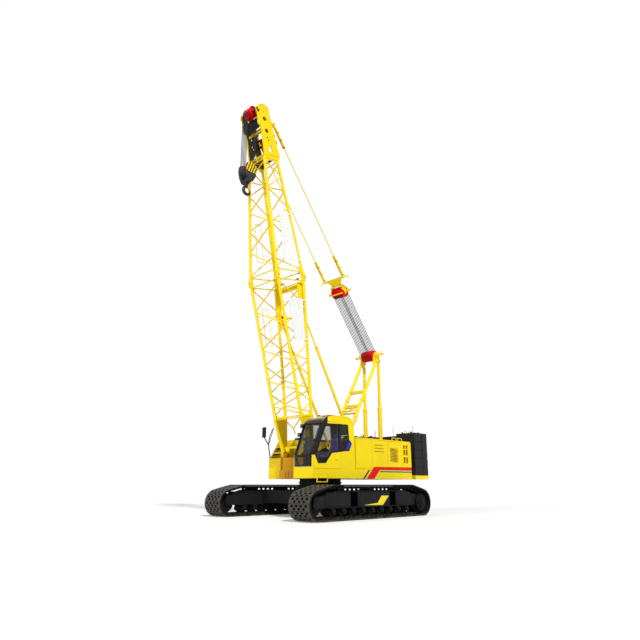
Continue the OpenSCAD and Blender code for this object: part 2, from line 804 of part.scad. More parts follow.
module cab_glass() {
    color([0.45, 0.5, 0.6, 0.4]) on_machine() {
        side_window_part(cab_rear, door_split - window_stile, glass_thickness, side - cab_wall / 2);
        side_window_part(cab_rear, cab_front, glass_thickness, well + cab_wall / 2);
        block([cab_front - 34, well + 60, lower_glass_low],
            [cab_front - 34 + glass_thickness, side - 60, screen_low - 50]);
        plate([
            [cab_front - 38, screen_low + 30], [cab_front - 24, screen_low + 30],
            [screen_x(screen_high - 50) - 24, screen_high - 20],
            [screen_x(screen_high - 50) - 38, screen_high - 20]
        ], side - well - 120, cab_mid);
        // roof glass
        plate([
            [cab_front - screen_lean - 205, screen_high + 135],
            [cab_front - screen_lean - 60, screen_high + 14],
            [cab_front - screen_lean - 60, screen_high + 29],
            [cab_front - screen_lean - 205, screen_high + 150]
        ], side - well - 160, cab_mid);
        block([cab_rear + 20, well + 120, 2200],
            [cab_rear + 20 + glass_thickness, side - 120, 2760]);
    }
}
module cab_door_glass() {
    color([0.45, 0.5, 0.6, 0.4]) on_machine()
        side_window_part(door_split + window_stile, cab_front, glass_thickness, side - cab_wall / 2);
}
module operator_seat() {
    color([0.3, 0.25, 0.5]) on_machine() {
        block([560, cab_mid - 150, cab_floor + 2 * seat], [1000, cab_mid + 150, cab_floor + 260]);
        block([520, cab_mid - 260, cab_floor + 258], [1060, cab_mid + 260, cab_floor + 400]);
        plate([
            [520, cab_floor + 398], [660, cab_floor + 398],
            [560, cab_floor + 1120], [440, cab_floor + 1120]
        ], 480, cab_mid);
    }
}
module cab_step() {
    color(yellow) on_machine() translate([0, side - 40, 0]) {
        for (x = [1380, 1870])
            rod([x, 20, upper_floor - seat], [x, 20, upper_floor - 118], 26);
        rod([1367, 20, upper_floor - 118], [1883, 20, upper_floor - 118], 26);
    }
}
module mirrors() {
    color(dark) on_machine() {
        rod([1000, 15 - side, tank_top + seat], [1000, 15 - side, tank_top + 40], 36);
        rod([1000, 15 - side, tank_top + 20], [1080, -side - 10, tank_top + 520], 26, 12);
        rod([1080, -side - 10, tank_top + 500], [1290, -side - 30, tank_top + 800], 22);
        rod([1080, -side - 10, tank_top + 500], [1000, -side + 180, tank_top + 1130], 22);
        block([1270, -side - 120, tank_top + 780], [1310, -side + 60, tank_top + 1160]);
    }
}

// Counterweight
weight_width = upper_width + 20;
function weight_plan(inner, e) = [
    [weight_front - e, inner], [weight_front - e, weight_width / 2 - e],
    [weight_front - weight_straight, weight_width / 2 - e],
    [weight_rear + e, weight_width / 2 - weight_taper - e],
    [weight_rear + e, inner]
];
module counterweight_tray() {
    color(yellow) on_machine()
        block([weight_rear - weight_lip, -side, upper_floor],
            [weight_front, side, upper_floor + tray_height]);
}
module counterweight() {
    low = upper_floor + tray_height + seat;
    slab = (stack_top - low) / slab_count;
    color(dark) on_machine() {
        for (i = [0:slab_count - 1]) both_sides() {
            translate([0, 0, low + i * slab]) linear_extrude(height = slab - 14)
                polygon(weight_plan(weight_width / 2 - slab_width, 0));
            if (i < slab_count - 1)
                translate([0, 0, low + (i + 1) * slab - 15]) linear_extrude(height = 16)
                    polygon(weight_plan(weight_width / 2 - slab_width, 20));
        }
        block([weight_rear + 60, slab_width - weight_width / 2 - 1, low],
            [weight_front - 30, weight_width / 2 - slab_width + 1, stack_top - 100]);
    }
}

// Gantry
gantry_side = gantry_width / 2;
front_leg_top = [gantry_x - 60, gantry_z - 120];
front_leg_foot = [gantry_foot_x, platform_top + 150];
rear_leg_x = gantry_x - 110;
function front_leg_at(z) =
    mix(front_leg_foot[0], front_leg_top[0],
        (z - front_leg_foot[1]) / (front_leg_top[1] - front_leg_foot[1]));
leg_end = gantry_z - 400;
leg_plate_low = gantry_z - 480;
module gantry_front_legs() {
    tie = [gantry_z - 1650, gantry_z - 2320];
    color(yellow) on_machine() {
        both_sides() {
            difference() {
                union() {
                    rod([front_leg_foot[0], gantry_side, front_leg_foot[1]],
                        [front_leg_at(leg_end), gantry_side, leg_end], front_leg_diameter);
                    cross_pin(front_leg_foot, 150, front_leg_diameter - 24, gantry_side);
                    plate([
                        [front_leg_at(leg_plate_low) - 60, leg_plate_low],
                        [front_leg_at(leg_plate_low) + 60, leg_plate_low],
                        [gantry_x + 130, gantry_z], [gantry_x - 130, gantry_z]
                    ], 40, gantry_side - 45);
                    cross_pin(gantry_pin, 260, 40, gantry_side - 45);
                }
                cross_pin(gantry_pin, 110 + 2 * pin_play, 200, gantry_side);
            }
        }
        for (z = tie)
            strut([front_leg_at(z), -gantry_side, z], [front_leg_at(z), gantry_side, z], 80, 30);
        both_sides()
            strut([front_leg_at(tie[1] - 90), gantry_side, tie[1] - 90],
                [front_leg_at(tie[1]) + 420, gantry_side - 60, tie[1] - 190], 60, 30);
        strut([front_leg_at(tie[1]) + 400, -gantry_side, tie[1] - 185],
            [front_leg_at(tie[1]) + 400, gantry_side, tie[1] - 185], 60, 40);
    }
}
module gantry_rear_legs() {
    split = gantry_z - rear_rod_length;
    color(yellow) on_machine() both_sides() difference() {
        union() {
            rod([rear_leg_x, gantry_side, platform_top + seat], [rear_leg_x, gantry_side, split],
                rear_tube_diameter);
            rod([rear_leg_x, gantry_side, split - 10], [rear_leg_x, gantry_side, leg_end],
                rear_rod_diameter);
            plate([
                [rear_leg_x - 50, leg_plate_low], [rear_leg_x + 50, leg_plate_low],
                [gantry_x + 100, gantry_z], [gantry_x - 110, gantry_z]
            ], 40, gantry_side + 20);
            cross_pin(gantry_pin, 210, 40, gantry_side + 20);
        }
        cross_pin(gantry_pin, 110 + 2 * pin_play, 400, gantry_side);
    }
}
module gantry_sheaves() {
    color(red) on_machine() {
        for (i = [-3:3])
            cross_pin(gantry_pin, luff_sheave_diameter, sheave_pitch - 22, i * sheave_pitch);
        cross_pin(gantry_pin, luff_sheave_diameter - 120, 6 * sheave_pitch + 20);
        cross_pin(gantry_pin, 110, gantry_pin_length);
    }
}

// Winches
module drum(x) {
    cross_pin([x, drum_z], drum_core, drum_length - 20);
    for (y = [-1, 1])
        cross_pin([x, drum_z], drum_flange, 30, y * (drum_length / 2 - 15));
    cross_pin([x, drum_z], 90, drum_length + 2 * run_gap + 60);
}
module main_drum() { color(steel) on_machine() drum(main_drum_x); }
module second_drum() { color(steel) on_machine() drum(aux_drum_x); }
module luffing_drum() { color(steel) on_machine() drum(luff_drum_x); }

// Boom
module chords(s0, s1, diameter = chord_diameter, sides = 48) {
    for (y = [-1, 1]) for (d = [-1, 1])
        rod([d * half_depth_at(s0), y * half_width_at(s0), s0],
            [d * half_depth_at(s1), y * half_width_at(s1), s1], diameter, sides);
}
// Bracing stops inside the chords' walls, short of their middles
brace_stop = chord_diameter * 0.34;
batten_off = brace_diameter * 1.3;
// One bay's inclined braces: in the boom's two sides, or in its front and rear
module bay(s0, s1, flip, in_sides) {
    w0 = half_width_at(s0);
    w1 = half_width_at(s1);
    d0 = half_depth_at(s0);
    d1 = half_depth_at(s1);
    for (k = [-1, 1])
        if (in_sides)
            strut([flip * d0, k * w0, s0], [-flip * d1, k * w1, s1], brace_diameter, brace_stop, 8);
        else
            strut([k * d0, flip * w0, s0], [k * d1, -flip * w1, s1], brace_diameter, brace_stop, 8);
}
module bay_frame(s, in_sides) {
    w = half_width_at(s);
    d = half_depth_at(s);
    for (k = [-1, 1])
        if (in_sides)
            strut([-d, k * w, s], [d, k * w, s], brace_diameter, brace_stop, 8);
        else
            strut([k * d, -w, s], [k * d, w, s], brace_diameter, brace_stop, 8);
}
// The bays' lengths keep a constant ratio to the boom's depth
function bay_at(s0, s1, i, count) =
    let (g = half_depth_at(s1) / half_depth_at(s0))
    s0 + (s1 - s0) * (pow(g, i / count) - 1) / (g - 1);
module lattice(s0, s1, count, in_sides) {
    for (i = [0:count - 1])
        bay(bay_at(s0, s1, i, count) + brace_diameter / 3,
            bay_at(s0, s1, i + 1, count) - brace_diameter / 3, i % 2 == 0 ? 1 : -1, in_sides);
    bay_frame(s0 - batten_off, in_sides);
    bay_frame(s1 + batten_off, in_sides);
}
// Pads on the chords' ends, square to the boom, where its pieces meet
module chord_pads(s, low, high) {
    for (y = [-1, 1]) for (d = [-1, 1])
        translate([d * half_depth_at(s), y * half_width_at(s), s + low])
            cylinder(d = chord_diameter - 20, h = high - low, $fn = 8);
}
socket_end = 9;
socket_length = 170;
socket_wall = 17;
base_lattice = [leg_length + 110, joint_at - 250];
top_lattice = [joint_at + 250, head_at - 110];
bracket_thickness = 20;
bracket_off = backstop_rod / 2 + run_gap + bracket_thickness / 2;
module boom_base() {
    color(yellow) on_machine() on_boom() difference() {
        union() {
            chords(leg_length, joint_at - 40);
            chords(joint_at - socket_length, joint_at - socket_end, chord_diameter + 2 * socket_wall);
            chord_pads(joint_at, -60, -seat);
            lattice(base_lattice[0], base_lattice[1], base_bays, true);
            both_sides() {
                plate([
                    [-90, 0], [90, 0],
                    [base_depth / 2 + 40, leg_length + 40], [-base_depth / 2 - 40, leg_length + 40]
                ], plate_thickness, foot_width / 2);
                translate([0, foot_width / 2, 0]) rotate([90, 0, 0])
                    cylinder(d = 240, h = plate_thickness, center = true);
                // brackets of the backstops behind the rear chords, on a plate
                for (y = [-1, 1])
                    plate([
                        [10 - half_depth_at(backstop_at), backstop_at - 150],
                        [10 - half_depth_at(backstop_at), backstop_at + 250],
                        [-backstop_drop - 55, backstop_at + 40],
                        [-backstop_drop - 55, backstop_at - 55]
                    ], bracket_thickness, backstop_width / 2 + y * bracket_off);
                block([
                    -half_depth_at(backstop_at),
                    backstop_width / 2 - bracket_off - bracket_thickness / 2, backstop_at - 150
                ], [
                    bracket_thickness - half_depth_at(backstop_at), half_width_at(backstop_at),
                    backstop_at + 250
                ]);
            }
        }
        translate([-backstop_drop, 0, backstop_at]) rotate([90, 0, 0])
            cylinder(d = 50 + 2 * pin_play, h = 2000, center = true);
    }
    color(yellow) on_machine() both_sides()
        cross_pin([foot_x, foot_z], foot_pin, plate_thickness + 2 * run_gap + 2 * lug_thickness,
            foot_width / 2);
}
module boom_top() {
    color(yellow) on_machine() on_boom() {
        chords(joint_at + 40, head_at - socket_end);
        chords(joint_at + socket_end, joint_at + socket_length, chord_diameter + 2 * socket_wall);
        chord_pads(joint_at, seat, 60);
        chord_pads(head_at, -60, 0);
        lattice(top_lattice[0], top_lattice[1], top_bays, true);
    }
}
// Bracing across the boom's front and rear stands against its two sides' chords
chord_space = (chord_diameter + 2 * seat) / cos(15);
socket_space = chord_space + 2 * socket_wall / cos(15);
module boom_lacing() {
    tie_at = backstop_at + 130;
    tie_half = backstop_width / 2 - bracket_off - bracket_thickness / 2 - seat;
    color(yellow) on_machine() on_boom() {
        difference() {
            union() {
                lattice(base_lattice[0], base_lattice[1], base_bays, false);
                lattice(top_lattice[0], top_lattice[1], top_bays, false);
            }
            chords(leg_length, joint_at, chord_space, 12);
            chords(joint_at, head_at, chord_space, 12);
            chords(joint_at - socket_length - seat, joint_at, socket_space, 12);
            chords(joint_at, joint_at + socket_length + seat, socket_space, 12);
        }
        // tie between the backstops' brackets
        translate([-half_depth_at(tie_at), 0, tie_at]) rotate([90, 0, 0])
            cylinder(d = 76, h = 2 * tie_half, center = true, $fn = 12);
    }
}
// Outline of a head plate: ahead of the boom's middle and along it
head_end = head_at + head_length;
head_outline = [
    [head_depth / 2 + 54, head_at + seat], [head_depth / 2 - 20, head_at + 110],
    [head_depth / 2 - 20, head_sheave_at - 700], [head_depth / 2 + 130, head_sheave_at - 590],
    [head_depth / 2 + 100, head_sheave_at - 220], [head_sheave_ahead + 90, head_sheave_at - 60],
    [head_sheave_ahead + 90, head_sheave_at + 80], [230, head_end - 50], [50, head_end],
    [-170, head_end - 90], [-230, pendant_at + 130], [-pendant_behind - 55, pendant_at + 40],
    [-pendant_behind - 55, pendant_at - 60], [-250, pendant_at - 140],
    [-head_depth / 2 - 150, head_at + 180], [-head_depth / 2 - 54, head_at + seat]
];
// Cross tubes between the head plates: ahead, along, diameter
head_tubes = [
    [200, head_at + 170, 90], [-330, head_at + 150, 90], [180, head_at + 1180, 90],
    [-60, head_at + 1420, 80], [30, head_end - 140, 110]
];
// Holes through the head plates: ahead, along, diameter
head_holes = [
    [head_sheave_ahead, head_sheave_at, 110 + 2 * pin_play], [100, head_at + 1620, jib_bore],
    [60, head_at + 1130, jib_bore], [-pendant_behind, pendant_at, 50 + 2 * pin_play],
    [120, head_at + 1900, 80], [60, head_at + 840, 80], [5, head_at + 750, 76]
];
module boom_head() {
    color(yellow) on_machine() on_boom() {
        difference() {
            both_sides() plate(head_outline, head_plate, head_half);
            for (p = head_holes)
                translate([p[0], 0, p[1]]) rotate([90, 0, 0])
                    cylinder(d = p[2], h = 2000, center = true);
            plate([[-140, head_at + 300], [90, head_at + 300], [-60, head_at + 600]], 2000);
        }
        for (p = head_tubes)
            translate([p[0], 0, p[1]]) rotate([90, 0, 0])
                cylinder(d = p[2], h = head_width - head_plate + 4, center = true);
    }
}
module head_sheaves() {
    color(red) on_machine() {
        for (i = [-2:2])
            cross_pin(sheave_pin, head_sheave_diameter, sheave_pitch - 22, i * sheave_pitch);
        cross_pin(sheave_pin, head_sheave_diameter - 140, 4 * sheave_pitch + 20);
        cross_pin(sheave_pin, 110, 1100);
    }
}
// Boards: start and end along the boom, free beside the front and the rear chord
board_rows = [[3960, 5520, 260, 170], [6960, 8880, 360, 130]];
strap_half = 20;
strap_thickness = 10;
function strap_y(s) =
    max(half_width_at(s - strap_half), half_width_at(s + strap_half))
    + chord_diameter / 2 + strap_thickness / 2 + seat;
module sign_boards() {
    color("white") on_machine() on_boom() for (row = board_rows) {
        hull() for (s = [row[0], row[1]])
            translate([(row[3] - row[2]) / 2, half_width_at(s) + chord_diameter / 2 + 14, s])
                cube([2 * half_depth_at(s) - row[2] - row[3], 12, 1], center = true);
        for (s = [row[0] + 60, row[1] - 60])
            translate([0, strap_y(s), s])
                cube([2 * half_depth_at(s) + 20, strap_thickness, 2 * strap_half], center = true);
    }
}

// Luffing gear
luff_rope = 20;
module luffing_ropes() {
    off = (luff_sheave_diameter + luff_rope) / 2 + seat;
    color(steel) on_machine() along_rope(gantry_pin)
        for (i = [-3:3]) for (z = [-off, off])
            translate([0, i * sheave_pitch, z]) rotate([0, 90, 0])
                cylinder(d = luff_rope, h = norm(bridle_pin - gantry_pin), $fn = 8);
}
module bridle() {
    color(red) on_machine() {
        for (i = [-3:3])
            cross_pin(bridle_pin, luff_sheave_diameter, sheave_pitch - 22, i * sheave_pitch);
        cross_pin(bridle_pin, luff_sheave_diameter - 140, 6 * sheave_pitch + 20);
        cross_pin(bridle_pin, 90, bridle_pin_length);
        along_rope(bridle_pin) {
            both_sides()
                plate([[-120, -100], [-120, 100], [bridle_length - 60, 70],
                    [bridle_length - 60, -70]], 30, 3.5 * sheave_pitch + 20);
            block([bridle_length - 120, -3.5 * sheave_pitch - 35, -70],
                [bridle_length - 60, 3.5 * sheave_pitch + 35, 70]);
            block([bridle_length - 80, -pendant_y - 45, -60], [bridle_length, pendant_y + 45, 60]);
        }
    }
}
module pendants() {
    reach = norm(pendant_pin - bridle_top);
    color(yellow) on_machine() both_sides() along_rope(bridle_top) {
        start = [seat, pendant_y, 0];
        end = [reach, pendant_y, 0];
        rod(start, start + [reach - 40, 0, 0], pendant_diameter);
        rod(start, start + [reach * 0.07, 0, 0], 70);
        rod(start + [reach * 0.9, 0, 0], start + [reach - 40, 0, 0], 70);
        translate(end) rotate([90, 0, 0]) difference() {
            cylinder(d = 110, h = 2 * (pendant_off - seat), center = true);
            cylinder(d = 50 + 2 * pin_play, h = 200, center = true);
        }
    }
}
module backstop_frame(hand) {
    v = backstop_pin - backstop_foot;
    translate([backstop_x, hand * backstop_width / 2, backstop_z])
        rotate([0, 90 - atan2(v[1], v[0]), 0]) children();
}
backstop_length = norm(backstop_pin - backstop_foot);
module backstop_tubes() {
    color(yellow) on_machine() for (hand = [-1, 1]) backstop_frame(hand) {
        difference() {
            translate([0, 0, 60]) cylinder(d = backstop_tube, h = backstop_tube_length - 60);
            translate([0, 0, 300])
                cylinder(d = backstop_rod + 2 * run_gap, h = backstop_tube_length);
        }
        rotate([90, 0, 0]) cylinder(d = 140, h = backstop_tube, center = true);
        rotate([90, 0, 0])
            cylinder(d = 60, h = backstop_tube + 2 * run_gap + 56, center = true);
    }
}
module backstop_rods() {
    color(yellow) on_machine() for (hand = [-1, 1]) backstop_frame(hand) {
        translate([0, 0, 320]) cylinder(d = backstop_rod, h = backstop_length - 320 - 40);
        translate([0, 0, backstop_length]) rotate([90, 0, 0]) difference() {
            cylinder(d = 120, h = backstop_rod + 2 * (run_gap - seat), center = true);
            cylinder(d = 50 + 2 * pin_play, h = 200, center = true);
        }
    }
}

// Hoist falls, hook block and hook
module hoist_falls() {
    color(steel) on_machine() for (i = [-2:2]) for (x = [-rope_off, rope_off])
        rod([sheave_pin[0] + x, i * sheave_pitch, block_z],
            [sheave_pin[0] + x, i * sheave_pitch, sheave_pin[1]], hoist_rope);
}
module hook_block() {
    color(dark) on_machine() {
        for (i = [-2:2])
            cross_pin([sheave_pin[0], block_z], head_sheave_diameter, sheave_pitch - 22,
                i * sheave_pitch);
        for (y = [-1, 1])
            plate([
                [sheave_pin[0] - block_half, block_z + 120], [sheave_pin[0] - 60, block_z + 290],
                [sheave_pin[0] + 60, block_z + 290], [sheave_pin[0] + block_half, block_z + 120],
                [sheave_pin[0] + block_half, block_z - 330], [sheave_pin[0] + 120, block_z - 540],
                [sheave_pin[0] - 120, block_z - 540], [sheave_pin[0] - block_half, block_z - 330]
            ], 40, y * 230);
        cross_pin([sheave_pin[0], block_z], head_sheave_diameter - 140, 4 * sheave_pitch + 20);
        cross_pin([sheave_pin[0], block_z], 110, 520);
        difference() {
            block([sheave_pin[0] - 120, -212, block_z - 520],
                [sheave_pin[0] + 120, 212, block_z - 360]);
            translate([sheave_pin[0], 0, block_z - 600])
                cylinder(d = shank_diameter + 2 * run_gap, h = 400);
        }
    }
}
module hook() {
    top = block_z - 340;
    bowl = block_z - 520 - 60 - 160 - hook_radius;
    color(steel) on_machine() translate([sheave_pin[0], 0, 0]) {
        translate([0, 0, bowl + hook_radius + 60])
            cylinder(d = shank_diameter, h = top - bowl - hook_radius - 60);
        translate([0, 0, block_z - 360 + seat]) cylinder(d = shank_diameter + 70, h = 60);
        translate([0, 0, bowl]) rotate([0, -60, 0]) rotate([90, 0, 0])
            rotate_extrude(angle = 300, $fn = 48)
                translate([hook_radius + hook_thickness / 2, 0]) circle(d = hook_thickness);
    }
}

car_body();
cross_beams();
slewing_bearing();
side_frame(1);  // left_side_frame
side_frame(-1);  // right_side_frame
track(1);  // left_track
track(-1);  // right_track
rollers();
idlers();
sprockets();
upper_frame();
left_house();
left_door_front();
left_door_middle();
left_door_rear();
right_house();
right_tank();
right_door_front();
right_door_rear();
engine();
cab_shell();
cab_door();
cab_glass();
cab_door_glass();
operator_seat();
cab_step();
mirrors();
counterweight_tray();
counterweight();
gantry_front_legs();
gantry_rear_legs();
gantry_sheaves();
main_drum();
second_drum();
luffing_drum();
boom_base();
boom_top();
boom_lacing();
boom_head();
head_sheaves();
sign_boards();
luffing_ropes();
bridle();
pendants();
backstop_tubes();
backstop_rods();
hoist_falls();
hook_block();
hook();
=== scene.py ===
"""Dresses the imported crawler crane: its finishes, its fine pieces, the camera and the light."""

import logging
import math
from dataclasses import dataclass
from enum import Enum
from typing import Sequence

import bmesh
import bpy
from mathutils import Matrix, Vector


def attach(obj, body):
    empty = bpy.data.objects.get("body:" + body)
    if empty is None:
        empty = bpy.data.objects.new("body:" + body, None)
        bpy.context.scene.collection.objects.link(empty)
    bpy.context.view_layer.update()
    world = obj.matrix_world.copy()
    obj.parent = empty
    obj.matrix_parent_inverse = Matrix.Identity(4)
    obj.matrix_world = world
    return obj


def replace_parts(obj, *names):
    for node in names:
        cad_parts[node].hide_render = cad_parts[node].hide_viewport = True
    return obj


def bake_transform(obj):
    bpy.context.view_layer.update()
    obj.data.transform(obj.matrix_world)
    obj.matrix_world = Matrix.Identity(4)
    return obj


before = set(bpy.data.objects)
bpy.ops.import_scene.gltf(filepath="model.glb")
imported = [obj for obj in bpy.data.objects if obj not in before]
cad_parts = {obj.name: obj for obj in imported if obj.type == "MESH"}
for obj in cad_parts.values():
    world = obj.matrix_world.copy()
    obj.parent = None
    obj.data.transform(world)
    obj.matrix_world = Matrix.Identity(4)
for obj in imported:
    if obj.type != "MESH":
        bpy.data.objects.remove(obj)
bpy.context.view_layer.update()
LOG = logging.getLogger("crane")

# The slewing axis stands this far ahead of the middle of the whole crane
SWING = 0.21
# Plates and rims start this far inside the face that carries them
SINK = 0.004
# Grooved sheaves are this wide and stand this far apart
SHEAVE_WIDTH = 0.058
ROPE_PITCH = 0.074
HANDS = {1: "left", -1: "right"}
Point = Sequence[float]
Outline = Sequence[Point]
Socket = bpy.types.NodeSocket


class Body(Enum):
    """The moving bodies that pieces ride on."""

    UNDERCARRIAGE = "undercarriage"
    SUPERSTRUCTURE = "superstructure"
    CAB_ENTRY = "cab_entry"
    LEFT_FRONT = "left_hatch_front"
    LEFT_MIDDLE = "left_hatch_middle"
    LEFT_REAR = "left_hatch_rear"
    RIGHT_FRONT = "right_hatch_front"
    RIGHT_REAR = "right_hatch_rear"
    MAIN_WINCH = "main_winch"
    SECOND_WINCH = "second_winch"
    LUFFING_WINCH = "luffing_winch"
    BOOM = "boom"
    LUFFING_LINE = "luffing_line"
    BRIDLE = "bridle_gear"
    BACKSTOP_OUTER = "backstop_outer"
    HOIST = "hoist_gear"
    HOOK = "hook_body"


class Slot(Enum):
    """The record's material slots."""

    YELLOW = "machine_yellow"
    CRAWLER = "crawler_dark"
    BALLAST = "ballast_dark"
    RED = "sheave_red"
    GLASS = "tinted_glass"
    ROPE = "wire_rope"
    CAST = "cast_block"
    HOOK = "hook_steel"
    SEAT = "seat_cloth"
    BOARD = "board_white"


def linear(colour: Sequence[int]) -> tuple[float, float, float, float]:
    """Turns a screen colour into a scene colour.

    Args:
        colour: red, green and blue from 0 to 255.

    Returns:
        The linear colour with an alpha of 1.
    """
    parts = [c / 255 for c in colour]
    parts = [p / 12.92 if p <= 0.04045 else ((p + 0.055) / 1.055) ** 2.4 for p in parts]
    return (parts[0], parts[1], parts[2], 1.0)


def linked(name: str, data: bpy.types.ID) -> bpy.types.Object:
    """Returns a new object of the data, linked to the scene."""
    made = bpy.data.objects.new(name, data)
    bpy.context.scene.collection.objects.link(made)
    return made


def arc(middle: Point, radius: float, start: float, step: float, count: int) -> list[tuple[float, float]]:
    """Returns points on a circle.

    Args:
        middle: the circle's middle, in the same two coordinates as the points.
        radius: its radius.
        start: the first point's angle in degrees.
        step: degrees from one point to the next.
        count: the number of points.

    Returns:
        The points in order.
    """
    turns = [math.radians(start + step * k) for k in range(count)]
    return [(middle[0] + radius * math.cos(a), middle[1] + radius * math.sin(a)) for a in turns]


def strip(middle: Point, outer: float, inner: float, start: float, step: float, count: int) -> Outline:
    """Returns the outline of a bent strip between two radii, with the angles of arc()."""
    back = arc(middle, inner, start, step, count)
    return [*arc(middle, outer, start, step, count), *reversed(back)]


def washer(inner: float, outer: float, low: float, high: float) -> Outline:
    """Returns a flat ring's profile for the lathe, from its radii and its places on the axis."""
    return ((inner, low), (outer, low), (outer, high), (inner, high))


def sheave(radius: float, bore: float, width: float = SHEAVE_WIDTH) -> Outline:
    """Returns a grooved sheave's profile for the lathe, with a dished web and a hub."""
    w, rim, groove = width / 2, radius * 0.84, radius - 0.028
    half = (
        (radius, w * 0.72), (radius, w), (rim, w), (rim * 0.97, w * 0.35), (bore * 1.9, w * 0.35),
        (bore * 1.8, w), (bore, w),
    )
    other = [(r, -t) for r, t in reversed(half)]
    return [(groove, w * 0.16), *half, *other, (groove, -w * 0.16)]


def edges_at(verts: Sequence[bmesh.types.BMVert]) -> list[bmesh.types.BMEdge]:
    """Returns the edges that meet the vertices, each once."""
    return list(dict.fromkeys(edge for vert in verts for edge in vert.link_edges))


class Tree:
    """The nodes of a material or a world, with short calls for adding them."""

    def __init__(self, owner: bpy.types.Material | bpy.types.World) -> None:
        """Takes the owner's nodes over and clears them."""
        owner.use_nodes = True
        self.tree = owner.node_tree
        self.tree.nodes.clear()

    def add(self, kind: str, values: dict | None = None, **settings: object) -> bpy.types.Node:
        """Adds a node.

        Args:
            kind: the node's type name.
            values: input name or number to a socket or a value.
            settings: attributes of the node itself.

        Returns:
            The new node.
        """
        node = self.tree.nodes.new(kind)
        for key, value in settings.items():
            setattr(node, key, value)
        for key, value in (values or {}).items():
            self.feed(node.inputs[key], value)
        return node

    def feed(self, socket: Socket, value: object) -> None:
        """Links a socket to the input, or sets its value."""
        if isinstance(value, Socket):
            self.tree.links.new(value, socket)
        else:
            socket.default_value = value

    def sum(self, operation: str, a: object, b: object = 0.0) -> Socket:
        """Returns the result of a Math node on a and b."""
        return self.add("ShaderNodeMath", {0: a, 1: b}, operation=operation).outputs[0]


class Graph(Tree):
    """The nodes of one finish, in the piece's own coordinates."""

    def __init__(self, name: str) -> None:
        """Starts the material with its shader and its output."""
        self.material = bpy.data.materials.new(name)
        super().__init__(self.material)
        self.place = self.add("ShaderNodeTexCoord").outputs["Object"]
        self.shader = self.add("ShaderNodeBsdfPrincipled")
        self.add("ShaderNodeOutputMaterial", {"Surface": self.shader.outputs["BSDF"]})

    def mix(self, a: object, b: object, share: object) -> Socket:
        """Returns colour a turned into colour b by the share."""
        return self.add("ShaderNodeMix", {0: share, 6: a, 7: b}, data_type="RGBA").outputs[2]

    def noise(self, scale: float, detail: float = 4.0, stretch: Point = (1, 1, 1)) -> Socket:
        """Returns a noise of this many waves per metre, stretched along X, Y and Z."""
        spot = self.add("ShaderNodeMapping", {"Vector": self.place, "Scale": stretch}).outputs[0]
        values = {"Vector": spot, "Scale": scale, "Detail": detail, "Roughness": 0.6}
        return self.add("ShaderNodeTexNoise", values).outputs[0]

    def ramp(self, value: object, low: float, high: float, to: Point = (0.0, 1.0)) -> Socket:
        """Returns the value spread from low..high to the range in to, clamped."""
        values = {"Value": value, "From Min": low, "From Max": high, "To Min": to[0], "To Max": to[1]}
        return self.add("ShaderNodeMapRange", values).outputs[0]

    def axis(self, name: str) -> Socket:
        """Returns one coordinate of the piece, named X, Y or Z."""
        return self.add("ShaderNodeSeparateXYZ", {0: self.place}).outputs[name]

    def side(self) -> Socket:
        """Returns the distance from the machine's middle plane."""
        return self.sum("ABSOLUTE", self.axis("Y"))

    def beyond(self, normal: Point, limit: object) -> Socket:
        """Returns 1 where the place along the normal is more than the limit."""
        dot = self.add("ShaderNodeVectorMath", {0: self.place, 1: normal}, operation="DOT_PRODUCT")
        return self.sum("GREATER_THAN", dot.outputs["Value"], limit)

    def also(self, share: Socket, *planes: tuple[Point, float]) -> Socket:
        """Returns the share where the place is beyond every plane, each a normal and a limit."""
        for normal, limit in planes:
            share = self.sum("MULTIPLY", share, self.beyond(normal, limit))
        return share

    def bump(self, height: Socket, distance: float, **more: object) -> Socket:
        """Returns the normal raised by the height, with more inputs such as Normal."""
        values = {"Height": height, "Distance": distance, **more}
        return self.add("ShaderNodeBump", values).outputs[0]


@dataclass(frozen=True)
class Painted:
    """A flat patch of another colour, bounded by a convex outline in X and Z."""

    colour: tuple[int, int, int]
    outline: tuple[tuple[float, float], ...]
    beyond_y: float

    def mask(self, graph: Graph) -> Socket:
        """Returns 1 inside the outline, on both sides of the machine from beyond_y outwards."""
        sides = list(zip(self.outline, self.outline[1:] + self.outline[:1]))
        turn = 1.0 if sum(a[0] * b[1] - b[0] * a[1] for a, b in sides) > 0 else -1.0
        planes = []
        for a, b in sides:
            inward = (turn * (a[1] - b[1]), 0.0, turn * (b[0] - a[0]))
            planes.append((inward, inward[0] * (a[0] + SWING) + inward[2] * a[1]))
        return graph.also(graph.sum("GREATER_THAN", graph.side(), self.beyond_y), *planes)


